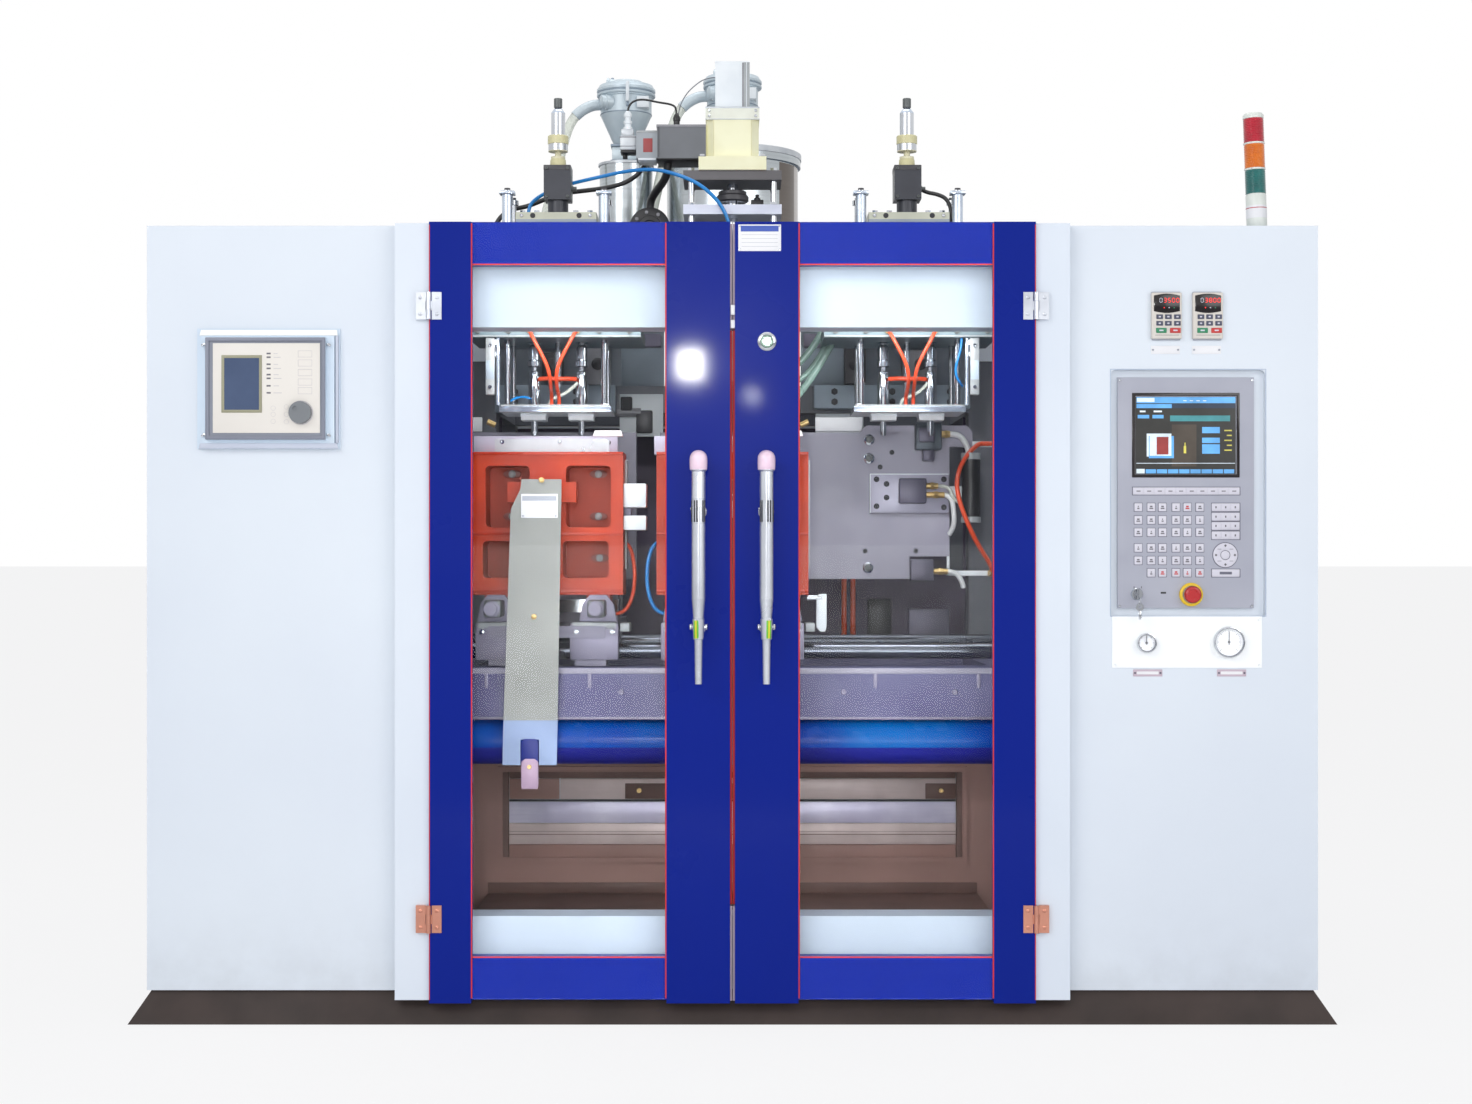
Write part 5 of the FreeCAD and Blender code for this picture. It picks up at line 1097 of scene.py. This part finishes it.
# material loaders
loader = {"y": 450, "drum": 78, "rim": 89.5, "places": ((-325, 2333), (0, 2359))}


def loaderUnit(x, z):
    y, r, rim = loader["y"], loader["drum"], loader["rim"]
    return [
        ((x - 45, y - 45, z), (x + 45, y + 45, z + 8), 1, 1.5),
        ((x - 41, y - 41, z + 8), (x + 41, y + 41, z + 48), 0, 3),
        ((x - 45, y - 45, z + 48), (x + 45, y + 45, z + 56), 1, 1.5),
        ("post", (x, y, z + 55), [
            (0, 0), (34, 0), (36, 2), (r - 1, 92), (r, 95), (r, 97), (r, 145), (r + 4, 147),
            (r + 4, 150), (rim - 1, 151), (rim, 153), (rim, 157), (rim - 3, 159), (rim - 3, 163),
            (rim, 165), (rim, 172), (rim - 3, 174), (rim - 5, 179), (rim - 8, 184), (58, 190), (50, 197),
            (0, 199)], 0, 56),
        ("post", (x, y, z + 214),
         [(rim - 3.4, 0), (rim - 2.4, 0.5), (rim - 2.4, 3.5), (rim - 3.4, 4)], 1, 56),
        ("post", (x, y, z + 149), [(r - 0.5, 0), (r + 1, 0.6), (r + 1, 3), (r - 0.5, 3.6)], 1, 56),
        # clasp, feed flange and elbow on the lid
        ((x + 3, y - rim - 5, z + 176), (x + 14, y - rim + 4, z + 236), 2, 2),
        ((x + 4.5, y - r - 9, z + 163), (x + 12.5, y - r, z + 178), 1, 1.5),
        ((x - 62, y - 66, z + 158), (x - 32, y - 50, z + 200), 2, 3),
        ("turn", (x - 40, y - 52, z + 180), (-1, -0.32, 0), [
            (0, 0), (24, 0), (24, 20), (21, 22), (21, 34), (17, 36), (0, 36)], 0, 32),
        ("turn", (x - 20, y - 30, z + 239), (-1, 0, 0.1), [
            (0, 0), (14, 0), (14, 30), (16.5, 31), (16.5, 38), (12, 39), (0, 39)], 0, 30),
        ("post", (x - 40, y - 30, z + 249), [(0, 0), (5, 0), (5, 8), (3, 10), (0, 11)], 1, 16),
        ((x + 36, y - r - 1.5, z + 160), (x + 72, y - 34, z + 194), 2, 1)]


built("loaders", "frame", ("loaderPale", "loaderShade", "loaderWhite"),
      [part for x, z in loader["places"] for part in loaderUnit(x, z)], replaced=("hopper_loaders",))
for (x, z), mark, foot in zip(loader["places"], "AB", (401, 427)):
    routeCurve("feedElbow" + mark, [(x - 70, 436, z + 180), (x - 92, 434, z + 181), (x - 118, 432, z + 172),
                                    (x - 140, 430, z + 158), (x - 154, 429, z + 144)],
               17, "loaderPale", "frame")
    hose("feedHose" + mark, [(x - 152, 430, z + 146), (x - 172, 426, z + 122), (x - 194, 416, z + 40),
                             (x - 220, 394, z - 80), (x - 244, 346, z - 200), (x - 252, 306, z - 300),
                             (x - 252, 296, z - foot)], 15, "hoseClear", "frame", "hose_black")
built("hopperBeads", "frame", ("castPale", "loaderShade"), [
    ("post", (0, 450, 2318), [(200, 0), (203, 1), (203, 5), (200, 6)], 1, 64),
    ("post", (0, 450, 2340), [(207.6, 0), (210.4, 1.5), (210.4, 18), (207.6, 19.6)], 0, 64),
    ("post", (-325, 450, 2325), [(81, 0), (85, 1), (85, 8), (81, 9)], 0, 48),
    ("post", (-325, 450, 2120), [(81, 0), (82.6, 1), (82.6, 4), (81, 5)], 0, 48)])
print("top built")

# moulding bay: dark screens and ducts behind the blowing units

built("rearScreens", "frame", (
    "wallGreen", "holeDark", "servoGrey", "steelLilac", "blockDark", "loaderWhite", "wallShade", "openWhite",
    "shadeLilac", "hoseOrange"), [
    ((-806, 236, 1712), (-722, 240, 1812), 7), ((722, 236, 1712), (806, 240, 1812), 7),
    # low screens in dark lilac painted shade behind the clamps, hung on two straps from the platform
    ((41, 440, 861), (716, 444, 1081), 8), ((-716, 440, 861), (-62, 444, 1038), 8),
    ((704, 444, 861), (716, 456, 1560), 8), ((-716, 444, 861), (-704, 456, 1560), 8),
    ("rod", (340, 430, 873), (340, 430, 1069), 8, 9), ("rod", (367, 430, 873), (367, 430, 1075), 8, 9),
    ((412, 424, 873), (484, 440, 1007), 4, 4), ((536, 424, 873), (659, 440, 976), 3, 4),
    ((-700, 331, 1640), (-205, 334, 1900), 0), ((205, 331, 1640), (700, 334, 1900), 0),
    ((-700, 245, 1640), (-330, 250, 1760), 6), ((330, 245, 1640), (690, 250, 1770), 6),
    ((-690, 200, 1752), (-210, 244, 1790), 3, 3), ((210, 200, 1752), (690, 244, 1790), 3, 3),
    ((-430, 190, 1640), (-360, 244, 1752), 2, 4), ((-560, 190, 1650), (-500, 244, 1735), 4, 4),
    ((330, 190, 1640), (392, 244, 1752), 4, 4), ((500, 190, 1660), (600, 244, 1740), 2, 4),
    ((-700, 205, 1560), (-345, 249, 1640), 0, 3), ((240, 205, 1570), (700, 249, 1640), 0, 3),
    # pale opening with the drive's dark bracket in front of it, and the liner of the back panel in dark lilac
    # painted shade
    ((-334, 240, 1490), (-205, 244, 1616), 5, 2), ((-330, 214, 1560), (-296, 240, 1606), 1, 4),
    ((-284, 214, 1500), (-236, 240, 1566), 4, 4), ("rod", (-340, 226, 1560), (-270, 226, 1560), 13, 2),
    ((246, 240, 1500), (388, 244, 1558), 5, 2), ((-728, 891, 604), (728, 894, 1554), 8)] + [
    ("head", (x, 204, z), 8, 18, 4) for x in (-640, -460, 300, 470, 640) for z in (1590, 1620)] + [
    ("disc", (x, 190, 1700), [(0, 0), (18, 0), (18, 4), (12, 8), (0, 8)], 4, 24)
    for x in (-530, -396, 360, 552)])

# brass ports on the front edge of the fixed plate, collars on the pins
blowParts = [((-230.6, -456, 1712), (230.6, -454.6, 1716), 1, 0.4)]
pinParts = [((-149, -406, 1517.4), (149, -404.6, 1532.6), 3, 0.5),
            ((-146, -404.4, 1532), (146, -400.5, 1537), 0, 0.8)]
for side in sides:
    x = side * 64
    blowParts += [("rod", (side * 62, -455, 1727), (side * 62, -466, 1727), 7.6, 0),
                  ("head", (side * 62, -464, 1727), 7, 13, 0), ("head", (side * 120, -455, 1726), 6, 13, 2),
                  ("head", (side * 200, -455, 1726), 6, 13, 2)]
    pinParts += [("post", (x, -305, 1533), [(12, 0), (16.4, 1), (16.4, 76), (13.6, 84), (13.6, 98)], 1, 28),
                 ("post", (x, -305, 1646), [(16, 0), (17.6, 1), (17.6, 14), (16, 15)], 1, 28),
                 ("post", (x, -305, 1664), [(13, 0), (14.8, 0.6), (14.8, 34), (13, 36)], 1, 28),
                 ((x - 35, -340.5, 1511), (x + 35, -269.5, 1517.6), 2, 0.8),
                 ("bolt", (side * 129, -385, 1532), 8, 20, 1)]


def softHose(name, points, x, radius, look, body, replaced=()):
    # hose as a mesh of its own, modelled about x = 0
    points = [(px + x, py, pz) for px, py, pz in points]
    guide = steeredCurve("guide", points, 8)
    holder = bpy.data.objects.new("guide", guide)
    path = [tuple(vert.co) for vert in bpy.data.meshes.new_from_object(holder).vertices]
    makeTube(guide, radius, look)
    tube = bpy.data.meshes.new_from_object(holder)
    bpy.data.objects.remove(holder)
    tube.polygons.foreach_set("use_smooth", [True] * len(tube.polygons))
    piece = placed(name, tube, body, replaced)
    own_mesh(piece)
    hoseLength(points)


# hoses of the blowing units and uprights with their valve boxes beside them
airHose = [(62, -455, 1727), (62, -477, 1727), (50, -490, 1703), (29, -490, 1664), (12, -483, 1628),
           (8, -469, 1598), (8, -441, 1578), (9, -411, 1568), (10, -393, 1554), (10, -393, 1532)]
crossHose = [(-49, -318, 1612), (-30, -330, 1613), (0, -334, 1611), (30, -330, 1612), (49, -318, 1612)]
loopHose = [(-20, -348, 1533), (-20, -350, 1552), (-2, -352, 1560), (26, -352, 1572), (44, -346, 1588),
            (54, -332, 1600)]
for station, x in stations:
    unit = station + "_blow_unit"
    built(station + "PlateFittings", "frame", ("brass", "boxGrey", "tipGrey"), blowParts, x)
    built(station + "PinCollars", unit, ("boxGrey", "chrome", "loaderWhite", "sleeveBlue"),
          pinParts, x)
    for side, mark in zip(sides, "AB"):
        softHose(station + "AirHose" + mark, [(side * px, py, pz) for px, py, pz in airHose], x, 5,
                 "hoseOrange", "frame", [station + "_blow_hoses"])
    softHose(station + "CrossHose", crossHose, x, 6, "hoseOrange", unit)
    softHose(station + "LoopHose", loopHose, x, 4, "hoseClear", unit)
    built(station + "Upright", "frame", ("boxGrey", "chrome", "sleeveBlue", "wallGreen"), [
        ((616, -448, 1532), (624, -420, 1711), 2, 1), ((628, -448, 1560), (652, -414, 1711), 0, 2),
        ((624, -444, 1660), (630, -424, 1711), 1, 0.6), ((629, -449, 1600), (651, -447.6, 1650), 3, 0.6),
        ("screw", (640, -448, 1690), 6, 1), ("screw", (640, -448, 1580), 6, 1)], flip=x < 0)
hose("pinHose", [(-549, -316, 1560), (-558, -328, 1564), (-580, -350, 1560), (-602, -370, 1545),
                 (-612, -392, 1532)], 3.4, "hoseBlue", "left_blow_unit", "hose_blue")

# clamps


def lugs(places, y, size, boltIndex, holeIndex):
    # bolt in a slotted steel washer
    parts = []
    for x, z in places:
        washer = [(x + cos(tau * i / 20) * size * 2.1, z + sin(tau * i / 20) * size) for i in range(20)]
        parts += [("plate", washer, (y - 4, y), holeIndex, 0.6),
                  ("disc", (x, y - 4, z),
                   [(0, 0), (size * 0.85, 0), (size * 0.85, 2), (size * 0.6, 3)], boltIndex, 24),
                  ("head", (x, y - 5, z), 7, size * 1.1, boltIndex)]
    return parts


def stud(place, *profile, index=9):
    # small turned knob on the chute
    return "disc", place, [(0, 0), (7, 0), *profile], index, 20


pocketBack = -540
clampFront = lugs([(-100, 1346), (124, 1346), (124, 1236), (127, 1128), (-100, 1236)], pocketBack, 11, 3, 12)
for x in (-130, 130):
    # grey feet over the orange casting, each with its bolt
    clampFront += [("plate", [(x - 48, 966), (x + 48, 966), (x + 40, 1010), (x + 22, 1034), (x - 22, 1034),
                              (x - 40, 1010)], (-656, -640), 2, 2),
                   ((x - 22, -740, 978), (x + 22, -652, 1022), 10, 6),
                   ("disc", (x, -740, 1000), [(16.6, 0), (19.6, 0), (19.6, 3), (18, 4), (16.6, 4)], 2, 32)]
clampFront += [
    # ledge across the casting and its rim
    ((-193.5, -654, 1186), (193.5, -649, 1192), 4, 1.2), ((-193.5, -653, 1390), (193.5, -649, 1397), 4, 1.4),
    ((-193.5, -653, 1040), (193.5, -649, 1047), 4, 1.4), ((193.8, -575, 1100), (200, -520, 1380), 3, 1),
    # grey backing plate that stands above the casting
    ((-205, -499, 1398.5), (172, -480, 1447), 6, 1.5), stud((147, -499, 1430), (7, 0.6), (0, 0.6), index=1),
    ("plate", [(106, 1447), (185, 1447), (180, 1462), (112, 1462)], (-500, -470), 7, 1),
    ((60, -499.6, 1399), (62, -498.8, 1446), 3),
    ("screw", (-130, -499, 1432), 7, 0), ("screw", (20, -499, 1432), 7, 0),
    # chute: plain tag, studs, a dark blue patch painted as the shaded notch at its foot, and the latch tongue
    # below
    ("plate", [(-58, 1228), (34, 1228), (34, 1288), (-58, 1288)], (-737, -735.2), 7, 0.4),
    ((-55, -737.6, 1271), (31, -736.8, 1283), 8),
    ("screw", (-53, -737, 1233), 3, 8), ("screw", (29, -737, 1233), 3, 8),
    stud((-7, -735, 1323), (7, 3), (4, 4), (4, 12), (0, 13)),
    stud((-26, -735, 980), (7, 3), (4, 4), (4, 9), (0, 10)),
    ("plate", [(-58, 606), (-15, 606), (-15, 664), (-22, 674), (-51, 674), (-58, 664)],
     (-735.8, -735), 11, 0.2),
    ("plate", [(-56, 548), (-17, 548), (-15, 556), (-15, 616), (-24, 624), (-49, 624), (-58, 616),
               (-58, 556)], (-738, -729), 13, 1.5), ("screw", (-37, -738, 604), 7, 9)]
# manifold blocks on the left casting, guard bracket on the right one
clampSides = {
    "left": [((193.5, -640, 1257), (252, -560, 1318), 5, 3), ((193.5, -640, 1199), (252, -560, 1236), 5, 3),
             ((193.5, -610, 1236), (212, -580, 1257), 2, 1)],
    "right": [("plate", [(224, 940), (214, 952), (214, 1030), (222, 1036), (240, 1036), (240, 952),
                         (236, 940)], (-646, -634), 5, 1.5),
              ("rod", (190, -640, 1026), (228, -640, 1026), 7, 0)],
}
clampHose = ((0, -560, 1168), (14, -574, 1160), (26, -586, 1110), (26, -590, 1050), (12, -590, 1004),
             (-10, -588, 984), (-32, -586, 984))
bearings = [((186, -650, 940), (210, -560, 962), 2, 2)]
for x in (-120, 120):
    bearings += [((x - 62, -655, 868), (x + 62, -645.6, 962), 0, 3),
                 ((x - 56, -657, 948), (x + 56, -640, 964), 2, 2),
                 ("head", (x - 46, -655, 940), 6, 13, 1), ("head", (x + 46, -655, 940), 6, 13, 1)]
for station, x, side, look in (("left", -472, 1, "hoseOrange"), ("right", 0, -1, "hoseBlue")):
    clamp = station + "_front_clamp"
    built(station + "ClampFront", clamp, (
        "chrome", "holeDark", "steelLilac", "boxGrey", "orangePaint", "loaderWhite", "plateLilac",
        "labelWhite", "labelGrey", "brass", "tipGrey", "shadedNotchBlue", "lugShade", "tonguePink"),
          clampFront + clampSides[station], x)
    hose(station + "ClampHose", [(x + side * (194 + px), py, pz) for px, py, pz in clampHose], 5, look,
         clamp, "hose_orange")
    built(station + "Bearings", station + "_carriage", ("steelLilac", "chrome", "boxGrey"),
          bearings, x)

# fittings on the wide rear plate
rearBolts = ((382, 1460), (382, 1408), (379, 1102))
rearHoles = ((446, 1425), (413, 1384), (371, 1149), (513, 1149), (640, 1390), (402, 1349), (402, 1271),
             (425, 1340), (425, 1300))
rearParts = [("disc", (x, -110, z), [(0, 0), (15, 0), (15, 3), (13, 4), (0, 4)], 0, 28)
             for x, z in rearBolts] + [
    ("head", (x, -114, z), 12, 19, 1) for x, z in rearBolts] + [
    # holes drawn as thin dark discs of painted shade
    ("disc", (x, -110.2, z), [(0, 0), (7, 0), (7, 0.5), (0, 0.5)], 2, 20) for x, z in rearHoles] + [
    ((385, -124, 1255), (603, -110, 1365), 3, 2), ((463, -156, 1281), (539, -124, 1351), 4, 4),
    ((385, -125, 1362), (603, -123.6, 1365), 5, 0.4), ((383.6, -124.6, 1255), (386, -112, 1365), 5, 0.4)] + [
    # ports on the valve plate, also dark discs of painted shade
    ("disc", (x, -124.2, z), [(0, 0), (8, 0), (8, 0.6), (0, 0.6)], 2, 20)
    for x, z in ((402, 1349), (402, 1274), (430, 1336), (430, 1298), (590, 1349), (590, 1271))] + [
    # valve block above, brass fittings, black accumulator
    ((509, -160, 1430), (581, -110, 1505), 6, 4), ((516, -172, 1450), (560, -160, 1490), 4, 3),
    ((530, -150, 1400), (562, -110, 1430), 4, 3), ("rod", (581, -136, 1474), (606, -136, 1474), 9, 7),
    ("hex", (590, -136, 1474), (600, -136, 1474), 20, 7),
    ("rod", (665, -130, 1236), (665, -130, 1416), 26, 8),
    ("rod", (665, -130, 1404), (665, -130, 1422), 28, 9),
    ("rod", (665, -130, 1228), (665, -130, 1244), 28, 9),
    ((607, -112, 1300), (671, -104, 1330), 5, 1), ("rod", (539, -140, 1330), (572, -140, 1330), 8, 7),
    ("hex", (550, -140, 1330), (560, -140, 1330), 19, 7), ("rod", (539, -140, 1305), (590, -140, 1305), 8, 7),
    ("hex", (560, -140, 1305), (572, -140, 1305), 19, 7), ((495.4, -150, 1066), (560, -108, 1126), 4, 4),
    ("rod", (560, -134, 1092), (600, -134, 1092), 8, 7), ("hex", (574, -134, 1092), (584, -134, 1092), 19, 7),
    # support arms for the hose loop
    ((640, -106, 1440), (738, -100, 1456), 5, 1), ("rod", (696, -114, 1449), (738, -114, 1449), 6.5, 11),
    ((598, -106, 1134), (608, -76, 1150), 5, 1), ((600, -106, 1080), (738, -100, 1094), 5, 1),
    ((600, -106, 1080), (608, -100, 1150), 5, 1), ((233, -69, 1486), (366, -64, 1526), 10, 2),
    ("rod", (190, -120, 1500), (212, -120, 1510), 8, 7)]
rearHoses = {
    "WhiteHose": ([(604, -136, 1474), (622, -136, 1474), (638, -136, 1466), (650, -134, 1448),
                   (656, -132, 1434), (660, -130, 1418)], 8, "hoseWhite"),
    "OrangeHose": ([(698, -114, 1449), (688, -118, 1448), (672, -130, 1436), (645, -162, 1408),
                    (624, -170, 1366), (620, -172, 1318), (640, -172, 1250), (680, -160, 1166),
                    (722, -130, 1110), (730, -112, 1087)], 6.5, "hoseOrange"),
    "ClearHoseA": ([(590, -136, 1305), (602, -140, 1302), (612, -140, 1288), (616, -138, 1262),
                    (618, -134, 1236), (616, -124, 1212), (607, -112, 1196)], 7, "hoseWhite"),
    "ClearHoseB": ([(572, -136, 1330), (590, -144, 1330), (606, -146, 1320), (612, -146, 1300),
                    (624, -144, 1286), (640, -136, 1280)], 5, "hoseClear"),
    "ClearHoseC": ([(600, -134, 1092), (616, -136, 1090), (630, -138, 1079), (640, -138, 1062),
                    (644, -136, 1046)], 7, "hoseWhite"),
}
for station, x in (("right", 0), ("left", -472)):
    flip, clamp = station == "left", station + "_rear_clamp"
    built(station + "RearFittings", clamp, (
        "chrome", "tipGrey", "holeDark", "plateLilac", "valveLilac", "loaderWhite", "valveGrey",
        "brass", "blackPlastic", "boxGrey", "labelWhite", "hoseOrange"), rearParts, x, flip)
    elbow = built(station + "HoseElbow", clamp, ("brass",), [
        ("rod", (716, -116, 1087), (740, -110, 1087), 9, 0),
        ("rod", (732, -112, 1087), (732, -100, 1087), 8, 0)], x, flip)
    for key, (points, radius, look) in rearHoses.items():
        points = [(x - px if flip else px, py, pz) for px, py, pz in points]
        ends = ("hose_orange", "medium", [elbow], (), "fitting") if key == "OrangeHose" else ("clear_sheet",)
        hose(station + key, points, radius, look, clamp, *ends)

# conveyor mouth, bay floor and bed
built("mouthTrim", "frame", ("stripBeige", "stripWhite", "brass", "brownDark", "interiorBrown", "holeDark"),
      [
    ((-488, -38, 447), (632, -30.4, 505), 0, 1.5), ((-304, -41, 448), (96, -37.6, 492), 3, 1.5),
    ((546, -41, 448), (632, -37.6, 492), 3, 1.5), ((-632, -36, 447), (-490, -30.4, 505), 4, 1.5),
    ((-632, -38, 380), (632, -30.4, 440), 1, 1.5), ((-632, -42, 320), (632, -30.4, 379), 0, 1.5),
    ((-632, -42.8, 347), (632, -41.8, 349), 3), ((-632, -42.8, 356), (632, -41.8, 357), 3),
    ((-650, -49, 284), (-633, -31, 530), 3), ((633, -49, 284), (650, -31, 530), 3),
    ((-632, -40, 262), (632, -30.4, 319), 4, 1), ((-632, -36, 506), (632, -31, 530), 3, 1),
    ((-632, -34, 440), (632, -30.6, 446), 5), ("frame", (-650, 650), (284, 530), (-70, -66.5), 3, 4, 0.6)] + [
    ("screw", (x, -41, 472), 9, 2) for x in (-264, 30, 590)])
built("bayFloor", "frame", ("brownDark", "interiorBrown"), [
    ((-690, -690, 180), (690, -54, 184), 0), ((-690, -60, 184), (690, -54.6, 214), 0, 1),
    ((-700, -56, 716), (700, -50.4, 719), 1)])
built("bedTrim", "frame", ("bedLight", "steelLilac"), [
    ((-690, -712, 836), (690, -709.6, 850), 0, 1), ((-690, -711.6, 722), (690, -709.8, 727), 1, 0.5)] + [
    ("screw", (x, -711, 790), 8, 1) for x in (-560, -280, 0, 280, 560)] + [
    ((x - 4, -712.4, 800), (x + 4, -710, 836), 1, 1) for x in (-620, -360, 360, 620)])
print("bay built")

# lamps, surroundings, floor and camera

studio = {
    "key": ((-3.4, -5.6, 4.0), (0, -0.9, 1.1), (3.2, 2.4), 110),
    "fill": ((3.6, -5.4, 3.0), (0, -0.9, 1.0), (3.0, 3.0), 74),
    "low": ((0, -5.6, 0.8), (0, -0.3, 0.6), (3.4, 0.8), 52),
    "top": ((0, 0.2, 5.6), (0, -0.2, 1.0), (3.6, 3.0), 70),
    "bayLeft": ((-0.42, -0.72, 1.78), (-0.4, -0.12, 1.1), (0.5, 0.05), 3),
    "bayRight": ((0.42, -0.72, 1.78), (0.4, -0.12, 1.1), (0.5, 0.05), 3),
    "shine": ((-0.209, -6.4, 2.097), (-0.1, -0.95, 1.59), (0.12, 0.14), 34),
    "spark": ((0.096, -6.4, 1.944), (0.05, -0.95, 1.52), (0.06, 0.07), 2),
}
scene = bpy.context.scene
for name, (place, target, size, power) in studio.items():
    lamp = bpy.data.lights.new(name, "AREA")
    lamp.shape = "RECTANGLE"
    lamp.size, lamp.size_y = size
    lamp.energy = power
    holder = bpy.data.objects.new(name, lamp)
    scene.collection.objects.link(holder)
    holder.location = place
    holder.rotation_euler = (Vector(target) - Vector(place)).to_track_quat("-Z", "Y").to_euler()
    holder.visible_camera = False
    holder.visible_glossy = name != "low"

# white to the camera and in reflections and glass, a soft pale room otherwise
scene.world = bpy.data.worlds.new("studioWorld")
scene.world.use_nodes = True
tree = scene.world.node_tree
tree.nodes.clear()
rays = addNode(tree, "LightPath").node.outputs
straight = mathNode(tree, "MAXIMUM", rays["Is Camera Ray"], rays["Is Transmission Ray"])
white = mathNode(tree, "MAXIMUM", straight, rays["Is Glossy Ray"])
room = addNode(tree, "Background", {0: (0.92, 0.95, 1.0, 1), 1: 0.42})
feed(tree, tree.nodes.new("ShaderNodeOutputWorld"), {
    "Surface": mixShader(tree, white, room, addNode(tree, "Background", {0: (1, 1, 1, 1), 1: 1.0}))})

floorBuild = bmesh.new()
bmesh.ops.create_grid(floorBuild, x_segments=2, y_segments=2, size=1600)
floorMesh = bpy.data.meshes.new("studioFloor")
floorBuild.to_mesh(floorMesh)
floorBuild.free()
floor = bpy.data.objects.new("studioFloor", floorMesh)
scene.collection.objects.link(floor)
finish("floorPale", (226, 226, 228), (222, 222, 224), (0.75, 0.85), grain=(300, 0.02))
floorMesh.materials.append(looks["floorPale"])
tree = looks["floorPale"].node_tree
rays = addNode(tree, "LightPath").node.outputs
straight = mathNode(tree, "MAXIMUM", rays["Is Camera Ray"], rays["Is Transmission Ray"])
pale = addNode(tree, "Emission", {0: (0.955, 0.955, 0.96, 1)})
feed(tree, tree.nodes["Material Output"], {"Surface": mixShader(
    tree, mathNode(tree, "MULTIPLY", straight, 0.9), tree.nodes["Principled BSDF"].outputs[0], pale)})

camera = bpy.data.objects.new("photoCamera", bpy.data.cameras.new("photoCamera"))
for key, value in {"lens": 52.8, "sensor_width": 36, "shift_x": 0.0024, "shift_y": 0.0088,
                   "clip_end": 4000}.items():
    setattr(camera.data, key, value)
scene.collection.objects.link(camera)
camera.location = (0, -6.15, 1.11)
camera.rotation_euler = (radians(90), 0, 0)
scene.camera = camera
scene.view_settings.view_transform = "Standard"
print("studio ready")
